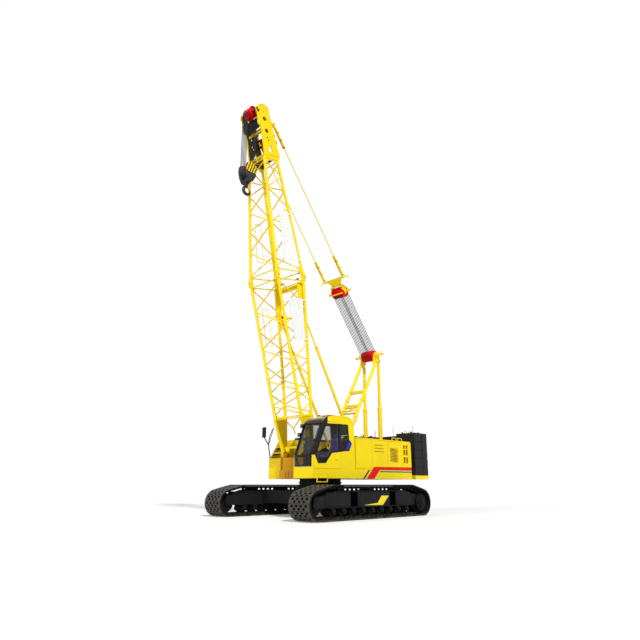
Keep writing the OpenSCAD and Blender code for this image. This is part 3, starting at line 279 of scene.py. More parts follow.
@dataclass(frozen=True)
class Finish:
    """A painted or bare surface: its colour, its gloss and how it has aged."""

    name: str
    slot: Slot
    colour: tuple[int, int, int]
    roughness: float = 0.42
    metallic: float = 0.0
    coat: float = 0.0
    specular: float = 0.18
    alpha: float = 1.0
    shade: float = 0.04
    wear: tuple[int, int, int] = (120, 90, 40)
    wear_share: float = 0.06
    dust_height: float = 0.0
    streaks: float = 0.03
    grain: float = 0.0006
    grain_scale: float = 160.0
    patches: tuple[Painted, ...] = ()

    def material(self) -> bpy.types.Material:
        """Returns the finish's material, made on its first use."""
        name = f"finish_{self.name}"
        known = bpy.data.materials.get(name)
        return known if known else self.build(name)

    def build(self, name: str) -> bpy.types.Material:
        """Makes the material from broad shading, streaks, painted patches, wear and dust.

        Args:
            name: the material's name, which no imported material has.

        Returns:
            The new material.
        """
        graph = Graph(name)
        base = linear(self.colour)
        deep = tuple(c * (1 - 2.5 * self.shade) for c in base[:3]) + (1.0,)
        colour = graph.mix(base, deep, graph.ramp(graph.noise(1.1), 0.45, 0.8))
        for patch in self.patches:
            colour = graph.mix(colour, linear(patch.colour), patch.mask(graph))
        colour = self.extra(graph, colour)
        runs = graph.ramp(graph.noise(7.0, 3.0, (1, 1, 0.08)), 0.5, 0.75, (0, self.streaks))
        colour = graph.mix(colour, linear((60, 50, 35)), runs)
        specks = graph.ramp(graph.noise(9.0, 8.0), 0.66, 0.70, (0, self.wear_share))
        colour = graph.mix(colour, linear(self.wear), specks)
        if self.dust_height:
            low = graph.ramp(graph.axis("Z"), 0.0, self.dust_height, (0.75, 0.0))
            patchy = graph.ramp(graph.noise(3.0, 6.0), 0.35, 0.7)
            colour = graph.mix(colour, linear((120, 108, 90)), graph.sum("MULTIPLY", low, patchy))
        gloss = (self.roughness - 0.06, self.roughness + 0.10)
        normal = graph.bump(graph.noise(self.grain_scale, 3.0), self.grain, Strength=0.6)
        values = {
            "Base Color": colour, "Roughness": graph.ramp(graph.noise(5.0, 5.0), 0.3, 0.7, gloss),
            "Normal": self.relief(graph, normal), "Metallic": self.metallic,
            "Coat Weight": self.coat, "Specular IOR Level": self.specular, "Alpha": self.alpha,
        }
        for key, value in values.items():
            graph.feed(graph.shader.inputs[key], value)
        return graph.material

    def extra(self, graph: Graph, colour: Socket) -> Socket:
        """Returns the colour with what a special finish adds; a plain one adds nothing."""
        return colour

    def relief(self, graph: Graph, normal: Socket) -> Socket:
        """Returns the normal with a special finish's larger relief; a plain one adds nothing."""
        return normal


@dataclass(frozen=True)
class CabPaint(Finish):
    """Cab paint with black pillars and a black roof front around the glass, and painted shade on its inner
    faces.
    """

    def extra(self, graph: Graph, colour: Socket) -> Socket:
        """Returns the colour, black around the glass and a grey painted shade on the cab's inner faces."""
        up, down, ahead, back = (0, 0, 1), (0, 0, -1), (1, 0, 0), (-1, 0, 0)
        lean, screen = (0.8975, 0.0, 0.4411), (-0.926, 0, -0.376)
        pillar = graph.beyond(lean, lean[0] * (1.972 + SWING) + lean[2] * 2.005)
        pillar = graph.also(pillar, (up, 1.995))
        roof = graph.also(graph.beyond(ahead, 1.375 + SWING), (up, 3.045))
        post = graph.beyond(ahead, 0.640 + SWING)
        post = graph.also(post, (back, -0.830 - SWING), (up, 2.135), (down, -3.075))
        black = graph.sum("MAXIMUM", graph.sum("MAXIMUM", pillar, roof), post)
        colour = graph.mix(colour, linear((16, 16, 18)), black)
        # Painted shade: the cab's inner faces under the roof take a grey in place of the yellow
        inside = graph.also(
            graph.beyond((0, 1, 0), 0.845), ((0, -1, 0), -1.630), (up, 1.62), (down, -3.29),
            (ahead, 0.04 + SWING), (screen, screen[0] * (2.03 + SWING) + screen[2] * 1.975),
        )
        return graph.mix(colour, linear((156, 148, 134)), inside)


@dataclass(frozen=True)
class ShadedPaint(Finish):
    """Paint that is deeper in the shade between two sides of the machine."""

    # deep is the painted shade's colour, and within is how far from the machine's middle it reaches
    deep: tuple[int, int, int] = (0, 0, 0)
    within: float = 0.0

    def extra(self, graph: Graph, colour: Socket) -> Socket:
        """Returns the colour with painted shade: deep where the machine's middle is nearer than within."""
        inner = graph.sum("LESS_THAN", graph.side(), self.within)
        return graph.mix(colour, linear(self.deep), inner)


@dataclass(frozen=True)
class Hazard(Finish):
    """Dark cast paint with slanted warning stripes on the hook block's upper side faces."""

    centre: tuple[float, float] = (0.0, 0.0)

    def extra(self, graph: Graph, colour: Socket) -> Socket:
        """Returns the colour with yellow and black stripes down to a little under the axle."""
        x = graph.sum("SUBTRACT", graph.axis("X"), self.centre[0])
        z = graph.sum("SUBTRACT", graph.axis("Z"), self.centre[1])
        slant = graph.sum("ADD", graph.sum("MULTIPLY", z, 0.34), x)
        bands = graph.sum("FRACT", graph.sum("MULTIPLY", slant, 9.0))
        on = graph.sum("GREATER_THAN", bands, 0.46)
        tint = graph.mix(linear((20, 20, 20)), linear((245, 210, 20)), on)
        top = graph.sum("GREATER_THAN", z, -0.17)
        face = graph.sum("GREATER_THAN", graph.side(), 0.2465)
        return graph.mix(colour, tint, graph.sum("MULTIPLY", top, face))


@dataclass(frozen=True)
class Twisted(Finish):
    """Wire rope whose strands run round it."""

    def relief(self, graph: Graph, normal: Socket) -> Socket:
        """Returns the normal with ridges that cross the rope on a slant."""
        spot = graph.add("ShaderNodeMapping", {"Vector": graph.place, "Rotation": (0.0, 0.6, 0.5)})
        values = {"Vector": spot.outputs[0], "Scale": 14.0, "Distortion": 0.3}
        wave = graph.add("ShaderNodeTexWave", values)
        return graph.bump(wave.outputs["Fac"], 0.002, Normal=normal)


@dataclass(frozen=True)
class Woven(Finish):
    """Seat cloth with a fine weave and a soft sheen."""

    def relief(self, graph: Graph, normal: Socket) -> Socket:
        """Returns the normal with two crossing sets of threads."""
        graph.shader.inputs["Sheen Weight"].default_value = 0.4
        for axis in ("X", "Z"):
            values = {"Vector": graph.place, "Scale": 420.0}
            wave = graph.add("ShaderNodeTexWave", values, bands_direction=axis)
            normal = graph.bump(wave.outputs["Fac"], 0.0008, Normal=normal)
        return normal


RED_PAINT = (228, 2, 2)
STRIPES = (
    Painted((6, 14, 92), ((-0.842, 1.563), (-0.742, 1.563), (-0.420, 1.262), (-0.522, 1.262)), 1.64),
    Painted(RED_PAINT, ((-3.43, 1.714), (-1.07, 1.685), (-1.41, 1.58), (-3.43, 1.58)), 1.64),
    Painted(RED_PAINT, ((-1.07, 1.685), (-0.606, 1.255), (-1.052, 1.255), (-1.41, 1.58)), 1.64),
    Painted((60, 128, 112), ((-3.43, 1.553), (-1.415, 1.553), (-1.365, 1.500), (-3.43, 1.500)), 1.64),
)
FRAME_MARKS = (
    Painted((22, 26, 70), ((0.52, 0.415), (-0.54, 0.392), (-0.19, 0.470)), 2.40),
    Painted((22, 26, 70), ((-0.19, 0.462), (-0.555, 0.390), (-0.905, 0.695), (-0.440, 0.722)), 2.40),
    Painted((244, 222, 40), ((0.485, 0.430), (-0.531, 0.410), (-0.218, 0.482)), 2.40),
    Painted((244, 222, 40), ((-0.218, 0.458), (-0.531, 0.418), (-0.865, 0.708), (-0.464, 0.713)), 2.40),
)
YELLOW = Finish("yellow_paint", Slot.YELLOW, (252, 220, 4), coat=0.03)
# The head's paint, with a dark painted shade on the inner faces between its side plates
HEAD = ShadedPaint(
    "head_yellow_paint_with_painted_shade", Slot.YELLOW, (252, 218, 4), coat=0.03, deep=(72, 60, 18), within=0.432,
)
# The houses' striped paint, with painted shade in the well between the cab and the tank, under the boom's
# foot
STRIPED = ShadedPaint(
    "striped_yellow_paint_with_painted_shade", Slot.YELLOW, (246, 218, 4), 0.40, coat=0.03, patches=STRIPES,
    deep=(200, 142, 10), within=0.797,
)
CAB = CabPaint("cab_yellow_paint", Slot.YELLOW, (246, 218, 4), 0.38, coat=0.03)
CRAWLER = Finish(
    "crawler_steel", Slot.CRAWLER, (18, 18, 19), 0.72, wear=(74, 72, 70), wear_share=0.25,
    dust_height=0.12, grain=0.0015, grain_scale=70.0,
)
FRAME_DARK = Finish(
    "side_frame_paint", Slot.CRAWLER, (20, 20, 21), 0.7, wear=(60, 58, 56), wear_share=0.15,
    dust_height=0.12, patches=FRAME_MARKS,
)
SHOE = Finish(
    "shoe_steel", Slot.CRAWLER, (68, 67, 64), 0.55, metallic=0.1, wear=(104, 102, 98),
    wear_share=0.35, dust_height=0.12, grain=0.0015, grain_scale=60.0,
)
# Near black: painted shade in the shoes' holes and the side frames' recesses, and the ballast's dark seams
SHADE_AND_SEAM_BLACK = Finish("shade_and_seam_black", Slot.CRAWLER, (3, 3, 4), 0.9, specular=0.0, wear=(10, 10, 10))
BALLAST = Finish(
    "ballast_paint", Slot.BALLAST, (33, 33, 34), 0.68, wear=(60, 58, 56), wear_share=0.2,
    streaks=0.15, grain=0.002, grain_scale=45.0,
)
# Black rubber and other black parts, and the painted shade in the head's holes
BLACK = Finish("black_rubber_and_painted_shade", Slot.BALLAST, (20, 20, 22), 0.6, wear=(46, 46, 46), grain_scale=240.0)
# Brown painted shade, put in slots, openings and the well where shade falls
PAINTED_SHADE_BROWN = Finish("painted_shade_brown", Slot.YELLOW, (116, 76, 10), 0.6)
RED = Finish("red_paint", Slot.RED, RED_PAINT, 0.4, wear=(90, 20, 20), wear_share=0.3)
STEEL = Finish(
    "bright_steel", Slot.ROPE, (150, 150, 154), 0.32, metallic=0.85, wear=(84, 76, 66),
    wear_share=0.3,
)
GLASS = Finish(
    "cab_tinted_pane", Slot.GLASS, (30, 32, 37), 0.06, alpha=0.22, shade=0.02, wear_share=0.0,
    streaks=0.0, grain=0.0,
)
LAMP = Finish("lamp_glass", Slot.GLASS, (92, 96, 102), 0.12, wear_share=0.0, streaks=0.0)
ROPE = Twisted("twisted_wires", Slot.ROPE, (44, 44, 46), 0.8, wear=(46, 44, 40))
CAST = Finish("cast_paint", Slot.CAST, (112, 114, 116), 0.6, wear=(70, 60, 50), grain=0.002)
HOOK_STEEL = Finish(
    "forged_steel", Slot.HOOK, (52, 52, 55), metallic=0.5, wear=(110, 106, 100), wear_share=0.3,
    grain=0.001, grain_scale=50.0,
)
SEAT = Woven("woven_upholstery", Slot.SEAT, (132, 108, 205), 0.9, wear=(80, 70, 130), streaks=0.0)
CONSOLE = Finish("console_plastic", Slot.BALLAST, (86, 88, 92), 0.55, wear=(70, 70, 70))
BLUE = Finish("blue_panel", Slot.YELLOW, (4, 18, 200), 0.35, coat=0.3, wear=(20, 20, 90))
BOARD = Finish(
    "blank_board", Slot.BOARD, (240, 240, 238), 0.5, shade=0.03, wear=(196, 190, 176),
    streaks=0.08,
)


class Form:
    """A shape under way in machine coordinates, made with mesh operators."""

    def __init__(self) -> None:
        """Starts an empty shape."""
        self.mesh = bmesh.new()

    def all(self) -> list:
        """Returns all of the shape's vertices, edges and faces."""
        return [*self.mesh.verts, *self.mesh.edges, *self.mesh.faces]

    def soften(self, edges: Sequence[bmesh.types.BMEdge], size: float) -> None:
        """Rounds the edges by the size, if there is any."""
        if size > 0:
            bmesh.ops.bevel(
                self.mesh, geom=edges, offset=size, offset_type="OFFSET", segments=2, profile=0.5,
                affect="EDGES", material=-1,
            )

    def block(self, low: Point, high: Point, bevel: float = 0.0) -> "Form":
        """Adds a block between two corners and returns the shape."""
        a, b = Vector(low), Vector(high)
        verts = bmesh.ops.create_cube(self.mesh, size=1.0)["verts"]
        bmesh.ops.scale(self.mesh, verts=verts, vec=b - a)
        bmesh.ops.translate(self.mesh, verts=verts, vec=(a + b) / 2)
        self.soften(edges_at(verts), bevel)
        return self

    def rod(self, a: Point, b: Point, radius: float, sides: int = 20, end: float | None = None,
            bevel: float = 0.0) -> "Form":
        """Adds a rod, or a cone with the other end's radius, and returns the shape.

        Args:
            a: the first end's middle.
            b: the other end's middle.
            radius: the radius at a.
            sides: the number of sides.
            end: the radius at b, if it differs.
            bevel: how far its edges are rounded.

        Returns:
            The shape itself.
        """
        start, stop = Vector(a), Vector(b)
        turn = (stop - start).to_track_quat("Z", "Y").to_matrix().to_4x4()
        verts = bmesh.ops.create_cone(
            self.mesh, cap_ends=True, segments=sides, radius1=radius,
            radius2=radius if end is None else end, depth=(stop - start).length,
            matrix=Matrix.Translation((start + stop) / 2) @ turn,
        )["verts"]
        rims = [e for e in edges_at(verts) if any(len(f.verts) > 4 for f in e.link_faces)]
        self.soften(rims, bevel)
        return self

    def disc(self, centre: Point, radius: float, width: float, sides: int = 32,
             bevel: float = 0.0) -> "Form":
        """Adds a disc square to Y round the centre and returns the shape."""
        c = Vector(centre)
        half = Vector((0, width / 2, 0))
        return self.rod(c - half, c + half, radius, sides, None, bevel)

    def discs(self, pin: Point, places: Sequence[float], radius: float, width: float,
              sides: int = 32, bevel: float = 0.0) -> "Form":
        """Adds discs on one pin, at several places along Y, and returns the shape."""
        for y in places:
            self.disc((pin[0], y, pin[2]), radius, width, sides, bevel)
        return self

    def bolt_ring(self, centre: Point, circle: float, count: int, radius: float, width: float) -> "Form":
        """Adds six-sided heads on a circle square to Y round the centre and returns the shape."""
        for x, z in arc((centre[0], centre[2]), circle, 0, 360 / count, count):
            self.disc((x, centre[1], z), radius, width, 6)
        return self

    def pipe(self, points: Sequence[Point], radius: float, sides: int = 10) -> "Form":
        """Adds a pipe through the points, with a ball at each bend, and returns the shape."""
        for a, b in zip(points, points[1:]):
            self.rod(a, b, radius, sides)
        for p in points[1:-1]:
            bmesh.ops.create_icosphere(
                self.mesh, subdivisions=1, radius=radius * 1.02, matrix=Matrix.Translation(Vector(p))
            )
        return self

    def slab(self, outline: Outline, y0: float, y1: float, bevel: float = 0.0,
             band: float = 0.0) -> "Form":
        """Adds a plate of an outline in X and Z, from y0 to y1, and returns the shape.

        Args:
            outline: the corners, X and Z.
            y0: where the plate starts.
            y1: where it ends.
            bevel: how far its edges are rounded.
            band: the width of the rim that is kept, or 0 for a full plate.

        Returns:
            The shape itself.
        """
        verts = [self.mesh.verts.new((p[0], y0, p[1])) for p in outline]
        faces = [self.mesh.faces.new(verts)]
        if band > 0:
            self.mesh.normal_update()
            middle = faces[0]
            faces = bmesh.ops.inset_region(
                self.mesh, faces=[middle], thickness=band, use_boundary=True,
                use_even_offset=True,
            )["faces"]
            if not faces:
                raise ValueError("the band of this outline has no faces")
            bmesh.ops.delete(self.mesh, geom=[middle], context="FACES_ONLY")
        grown = bmesh.ops.extrude_face_region(self.mesh, geom=faces, use_keep_orig=True)["geom"]
        moved = [g for g in grown if isinstance(g, bmesh.types.BMVert)]
        bmesh.ops.translate(self.mesh, verts=moved, vec=(0, y1 - y0, 0))
        self.soften(edges_at([*verts, *moved]), bevel)
        return self

    def lathe(self, profile: Outline, centre: Point, steps: int = 40, axis: Point = (0, 1, 0)) -> "Form":
        """Adds a closed profile of radius and place along the axis, spun round it.

        Args:
            profile: the corners, radius and place along the axis.
            centre: a point on the axis.
            steps: the number of steps in a turn.
            axis: the axis, Y or Z.

        Returns:
            The shape itself.
        """
        c, along = Vector(centre), Vector(axis)
        verts = [self.mesh.verts.new(c + along * t + Vector((r, 0, 0))) for r, t in profile]
        edges = [self.mesh.edges.new((a, b)) for a, b in zip(verts, verts[1:] + verts[:1])]
        bmesh.ops.spin(
            self.mesh, geom=[*verts, *edges], cent=c, axis=along, dvec=(0, 0, 0),
            angle=2 * math.pi, steps=steps, use_merge=True, use_duplicate=False,
        )
        return self

    def sheaves(self, pin: Point, radius: float, bore: float, count: int) -> "Form":
        """Adds an odd number of grooved sheaves side by side on the pin and returns the shape."""
        for i in range(count):
            self.lathe(sheave(radius, bore), (pin[0], (i - count // 2) * ROPE_PITCH, pin[2]))
        return self

    def sweep(self, points: Sequence[Point], radii: Sequence[float], sides: int = 16) -> "Form":
        """Adds a bent bar in the plane square to Y, whose radius changes along it.

        Args:
            points: its middle line.
            radii: the radius at each point.
            sides: the number of sides.

        Returns:
            The shape itself.
        """
        line = [Vector(p) for p in points]
        frames = []
        for i, p in enumerate(line):
            ahead = (line[min(i + 1, len(line) - 1)] - line[max(i - 1, 0)]).normalized()
            across = Vector((0, 1, 0)).cross(ahead)
            turn = Matrix((across, Vector((0, 1, 0)), ahead)).transposed().to_4x4()
            frames.append(Matrix.Translation(p) @ turn @ Matrix.Scale(radii[i], 4))
        ring = bmesh.ops.create_circle(
            self.mesh, cap_ends=True, segments=sides, radius=1.0, matrix=frames[0]
        )["verts"]
        edges = edges_at(ring)
        for before, after in zip(frames, frames[1:]):
            grown = bmesh.ops.extrude_edge_only(self.mesh, edges=edges)["geom"]
            ring = [g for g in grown if isinstance(g, bmesh.types.BMVert)]
            edges = [g for g in grown if isinstance(g, bmesh.types.BMEdge)]
            bmesh.ops.transform(self.mesh, matrix=after @ before.inverted(), verts=ring)
        bmesh.ops.edgenet_fill(self.mesh, edges=edges)
        return self

    def copies(self, pattern: "Form", places: Sequence[Matrix]) -> "Form":
        """Adds the pattern at each place, which uses the pattern up, and returns the shape."""
        data = bpy.data.meshes.new("pattern")
        pattern.mesh.to_mesh(data)
        pattern.mesh.free()
        for place in places:
            copy = data.copy()
            copy.transform(place)
            self.mesh.from_mesh(copy)
            bpy.data.meshes.remove(copy)
        bpy.data.meshes.remove(data)
        return self

    def cut(self, place: Point, way: Point, clear: bool = False) -> "Form":
        """Cuts the shape by a plane, clears what lies beyond it if asked, and returns it."""
        bmesh.ops.bisect_plane(
            self.mesh, geom=self.all(), plane_co=place, plane_no=way, clear_outer=clear
        )
        return self

    def moved(self, matrix: Matrix) -> "Form":
        """Moves all of the shape by the matrix and returns it."""
        bmesh.ops.transform(self.mesh, matrix=matrix, verts=self.mesh.verts)
        return self

    def both(self) -> "Form":
        """Adds the shape's mirror image across the machine's middle and returns it."""
        bmesh.ops.mirror(self.mesh, geom=self.all(), axis="Y", merge_dist=-1.0)
        return self

    def on_side(self, hand: int) -> "Form":
        """Returns a shape made for the left, there for hand 1 or mirrored to the right for -1."""
        return self if hand > 0 else self.moved(Matrix.Scale(-1, 4, (0, 1, 0)))

    def piece(self, name: str, finish: Finish, body: Body = Body.SUPERSTRUCTURE,
              smooth: float = 35.0, rides: bool = True) -> bpy.types.Object:
        """Turns the shape into a finished piece of the crane.

        Args:
            name: the piece's name.
            finish: its finish.
            body: the body it rides on.
            smooth: edges under this angle are shaded smooth.
            rides: False for a piece that is put on no body.

        Returns:
            The new object.
        """
        if not self.mesh.faces:
            raise ValueError(f"the piece {name} has no faces")
        bmesh.ops.translate(self.mesh, verts=self.mesh.verts, vec=(SWING, 0, 0))
        bmesh.ops.recalc_face_normals(self.mesh, faces=self.mesh.faces)
        data = bpy.data.meshes.new(name)
        self.mesh.to_mesh(data)
        self.mesh.free()
        data.materials.append(finish.material())
        data.polygons.foreach_set("use_smooth", [True] * len(data.polygons))
        data.set_sharp_from_angle(angle=math.radians(smooth))
        made = linked(name, data)
        if rides:
            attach(made, body.value)
        LOG.info("%s: %d faces on %s", name, len(data.polygons), body.value)
        return made


def dress(finish: Finish, *nodes: str) -> None:
    """Gives CAD nodes a finish in place of their plain one."""
    for name in nodes:
        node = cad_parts[name]
        for place in node.material_slots:
            place.material = finish.material()
        if not node.material_slots:
            node.data.materials.append(finish.material())
        LOG.info("%s: finished as %s", name, finish.name)


@dataclass
class Lattice:
    """The boom's frame: distances along it and ahead of its middle, as in the solids."""

    foot: tuple[float, float] = (1.163, 2.10)
    angle: float = 79.5
    leg: float = 1.29
    joint: float = 6.4
    head: float = 11.05

    def matrix(self) -> Matrix:
        """Returns the matrix from the boom's own frame to the machine's."""
        turn = Matrix.Rotation(math.radians(90 - self.angle), 4, "Y")
        return Matrix.Translation((self.foot[0], 0, self.foot[1])) @ turn

    def point(self, along: float, ahead: float) -> Vector:
        """Returns a point of the boom's middle plane in machine coordinates."""
        return self.matrix() @ Vector((ahead, 0, along))

    def width(self, s: float) -> float:
        """Returns half the distance between the chords' middles, s along the boom."""
        if s < self.joint:
            return (1.35 + 0.136 * (s - self.leg) / (self.joint - self.leg)) / 2
        return (1.486 - 0.594 * (s - self.joint) / (self.head - self.joint)) / 2

    def depth(self, s: float) -> float:
        """Returns half the boom's depth, s along it."""
        if s < self.joint:
            return (0.51 + 0.795 * (s - self.leg) / (self.joint - self.leg)) / 2
        return (1.305 - 0.639 * (s - self.joint) / (self.head - self.joint)) / 2


LATTICE = Lattice()
SHEAVE_PIN = LATTICE.point(12.98, 0.395)
PENDANT_PIN = LATTICE.point(12.53, -0.29)
GANTRY_PIN = Vector((-3.05, 0, 6.35))
ROPE_WAY = (PENDANT_PIN - GANTRY_PIN).normalized()
BRIDLE_PIN = GANTRY_PIN.lerp(PENDANT_PIN, 0.3)
BRIDLE_TOP = BRIDLE_PIN + ROPE_WAY * 0.64
BLOCK_PIN = (SHEAVE_PIN.x, 0.0, SHEAVE_PIN.z - 2.48)
# The pendants stand this far to each side, and the luffing sheaves have this radius
PENDANT_SIDE = 0.511
LUFFING_SHEAVE = 0.23


def along_rope(start: Vector) -> Matrix:
    """Returns the matrix whose X runs up the luffing ropes from the start."""
    turn = Matrix.Rotation(-math.atan2(ROPE_WAY.z, ROPE_WAY.x), 4, "Y")
    return Matrix.Translation(start) @ turn


@dataclass
class Crawler:
    """The two crawlers: shoes with mud holes, covers, caps and flanges, and the bearing's bolts."""

    gauge: float = 4.32
    shoe_width: float = 0.90
    pitch: float = 0.218
    base: float = 2.72
    radius: float = 0.46
    height: float = 1.07
    run: float = 2.10
    outer_face: float = 2.42
    rollers: int = 9
    roller_pitch: float = 0.48
    roller_height: float = 0.253

    def bends(self) -> tuple[float, float, float]:
        """Returns the angle at which the end's arc stops, and the lengths of arc and slope."""
        drop = self.height - self.radius
        reach = math.hypot(self.run - self.base, drop)
        tangent = math.atan2(drop, self.run - self.base) - math.acos(self.radius / reach)
        return tangent, self.radius * (tangent + math.pi / 2), math.sqrt(reach ** 2 - self.radius ** 2)

    def path(self, t: float) -> Vector:
        """Returns the track's outside in X and Z, t along it from under the middle."""
        tangent, bend, slope = self.bends()
        half = self.base + bend + slope + self.run
        flip = t > half
        u = 2 * half - t if flip else t
        if u <= self.base:
            x, z = u, 0.0
        elif u <= self.base + bend:
            a = (u - self.base) / self.radius - math.pi / 2
            x, z = self.base + self.radius * math.cos(a), self.radius + self.radius * math.sin(a)
        elif u <= self.base + bend + slope:
            k = (u - self.base - bend) / slope
            sx = self.base + self.radius * math.cos(tangent)
            sz = self.radius + self.radius * math.sin(tangent)
            x, z = sx + (self.run - sx) * k, sz + (self.height - sz) * k
        else:
            x, z = half - u, self.height
        return Vector((-x if flip else x, z))

    def shoe(self) -> Form:
        """Returns one shoe, outwards along Z, with rows of four and three mud holes.

        Its faces have the first material on top, the second, black painted shade, in the holes,
        and the third at its ends and underneath.
        """
        long, wide = self.pitch / 2, self.shoe_width / 2
        lip, groove, under, hole_depth = long * 0.88, -0.028, -0.045, 0.036
        columns, near, far = 9, 0.08, 0.70
        outline = (
            (-long, under), (long, under), (long, groove), (lip, groove), (lip, 0.0),
            (-lip, 0.0), (-lip, groove), (-long, groove),
        )
        form = Form().slab(outline, -wide, wide)
        for k in range(1, columns):
            form.cut((0, (2 * k / columns - 1) * wide, 0), (0, 1, 0))
        for share in (-far, -near, near, far):
            form.cut((share * long, 0, 0), (1, 0, 0))
        pits = []
        for face in form.mesh.faces:
            middle = face.calc_center_median()
            column, share = int((middle.y / wide + 1) / 2 * columns), middle.x / long
            ahead = near < share < far and column % 2
            behind = -far < share < -near and column in (2, 4, 6)
            if abs(middle.z) < 1e-6 and (ahead or behind):
                pits.append(face)
        sunk = bmesh.ops.extrude_discrete_faces(form.mesh, faces=pits)["faces"]
        low = list({v for f in sunk for v in f.verts})
        bmesh.ops.translate(form.mesh, verts=low, vec=(0, 0, -hole_depth))
        # The holes' floors take the second material, black painted shade
        for face in sunk:
            face.material_index = 1
        link = self.pitch * 0.40
        for y in (-0.165, 0.165):
            form.block((-link, y - 0.03, -0.128), (link, y + 0.03, -0.05))
            form.disc((long, y, -0.094), 0.024, 0.10, 8)
        form.mesh.normal_update()
        for face in form.mesh.faces:
            hidden = abs(face.normal.y) > 0.7 or face.calc_center_median().z < under
            if face.material_index == 0 and hidden:
                face.material_index = 2
        return form

    def chain(self, hand: int) -> None:
        """Makes one crawler's shoes and links, which stand for the track's solid."""
        _, bend, slope = self.bends()
        total = 2 * (self.base + bend + slope + self.run)
        count = round(total / self.pitch)
        spots = [self.path(total * i / count) for i in range(count + 1)]
        places = []
        for a, b in zip(spots, spots[1:]):
            ahead, middle = (b - a).normalized(), (a + b) / 2
            places.append(Matrix((
                (ahead.x, 0, ahead.y, middle.x), (0, 1, 0, hand * self.gauge / 2),
                (ahead.y, 0, -ahead.x, middle.y), (0, 0, 0, 1),
            )))
        shoes = Form().copies(self.shoe(), places)
        made = shoes.piece(f"{HANDS[hand]}_shoes", SHOE, Body.UNDERCARRIAGE, 20)
        # The shoes' second material is black painted shade in the mud holes
        for finish in (SHADE_AND_SEAM_BLACK, CRAWLER):
            made.data.materials.append(finish.material())
        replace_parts(made, f"{HANDS[hand]}_track")

    def roller_spots(self) -> list[float]:
        """Returns the rollers' places along X."""
        return [(i - self.rollers // 2) * self.roller_pitch for i in range(self.rollers)]

    def covers(self) -> None:
        """Makes the plates and ledges on the side frames, the skids under the upper runs, and black painted
        shade in the side frames' recesses.
        """
        y, low, high = self.outer_face, 0.405, 0.835
        plates = Form()
        for x0, x1 in ((-0.915, 0.765), (1.14, 2.30)):
            plates.block((x0, y - SINK, low), (x1, y + 0.018, high), 0.006)
        rear = ((-1.28, low), (-2.16, low), (-2.16, 0.70), (-1.95, high), (-1.28, high))
        front = ((2.33, low), (2.74, low), (2.74, 0.66), (2.33, 0.74))
        plates.slab(rear, y - SINK, y + 0.018, 0.006)
        plates.slab(front, y - SINK, y + 0.012, 0.005)
        for x, z in ((2.2, 0.382), (1.78, 0.868)):
            plates.block((-x, y - SINK, z - 0.012), (x, y + 0.035, z + 0.012), 0.004)
        plates.both().piece("side_frame_plates", FRAME_DARK, Body.UNDERCARRIAGE)
        skids = Form()
        for k in range(18):
            x = -1.87 + k * self.pitch
            skids.block((x - 0.055, 2.14, 0.882), (x + 0.055, 2.18, 0.943), 0.012)
        skids.both().piece("track_skids", CRAWLER, Body.UNDERCARRIAGE)
        # Painted shade: black sheets over the side frames' recesses
        pits = Form()
        for x0, x1 in ((0.79, 1.115), (-1.25, -0.94)):
            pits.block((x0, y - SINK, 0.40), (x1, y + 0.003, 0.85))
        pits.both().piece("side_frame_recess_shadows", SHADE_AND_SEAM_BLACK, Body.UNDERCARRIAGE)

    def caps(self) -> None:
        """Makes the caps of rollers, final drives and idlers, with the bolts of drives and plates."""
        form, y, middle = Form(), self.outer_face, self.gauge / 2
        for x in self.roller_spots():
            form.disc((x, middle + 0.27, self.roller_height), 0.075, 0.05, 20, 0.006)
            form.disc((x, middle + 0.30, self.roller_height), 0.030, 0.03, 12)
        form.disc((-self.base, y + 0.05, self.radius), 0.295, 0.06, 48, 0.008)
        form.disc((-self.base, y + 0.135, self.radius), 0.11, 0.05, 32, 0.006)
        form.disc((self.base, y + 0.02, self.radius), 0.12, 0.04, 32, 0.006)
        form.bolt_ring((-self.base, y + 0.0875, self.radius), 0.255, 16, 0.016, 0.035)
        form.bolt_ring((-self.base, y + 0.1125, self.radius), 0.165, 10, 0.014, 0.065)
        bolts = (
            (1.30, 0.46), (2.15, 0.46), (1.30, 0.78), (2.15, 0.78), (-1.36, 0.46), (-2.06, 0.46),
            (-1.36, 0.78), (-0.82, 0.46), (0.66, 0.78), (-0.80, 0.78), (0.66, 0.5),
        )
        for x, z in bolts:
            form.disc((x, y + 0.022, z), 0.016, 0.014, 6)
        form.both().piece("roller_caps_and_bolts", CRAWLER, Body.UNDERCARRIAGE)

    def wheels(self) -> None:
        """Makes the sprockets' teeth and the flanges of rollers and idlers."""
        form = Form()
        form.bolt_ring((-self.base, self.gauge / 2, self.radius), 0.318, 18, 0.034, 0.09)
        for x in self.roller_spots():
            form.discs((x, 0, self.roller_height), (2.04, 2.28), 0.108, 0.028, 24)
        form.discs((self.base, 0, self.radius), (2.05, 2.27), 0.30, 0.03, 40)
        form.both().piece("wheel_flanges", CRAWLER, Body.UNDERCARRIAGE)

    def body_bolts(self) -> None:
        """Makes the slewing bearing's bolts, its seal ring and the cross beams' gussets."""
        form = Form()
        for x, y in arc((0, 0), 0.81, 0, 9, 40):
            form.rod((x, y, 1.018), (x, y, 1.048), 0.017, 6)
        form.lathe(washer(0.765, 0.78, 1.10, 1.16), (0, 0, 0), 64, (0, 0, 1))
        for x in (0.95, -1.095):
            for y in (-1.45, -1.0, 1.0, 1.45):
                form.block((x - 0.15, y - 0.012, 0.868), (x + 0.15, y + 0.012, 0.90))
        form.piece("bearing_bolts", CRAWLER, Body.UNDERCARRIAGE)

    def build(self) -> None:
        """Makes all the crawlers' pieces."""
        dress(CRAWLER, "car_body", "cross_beams", "slewing_bearing", "rollers", "idlers", "sprockets")
        dress(FRAME_DARK, "left_side_frame", "right_side_frame")
        for hand in HANDS:
            self.chain(hand)
        self.covers()
        self.caps()
        self.wheels()
        self.body_bolts()


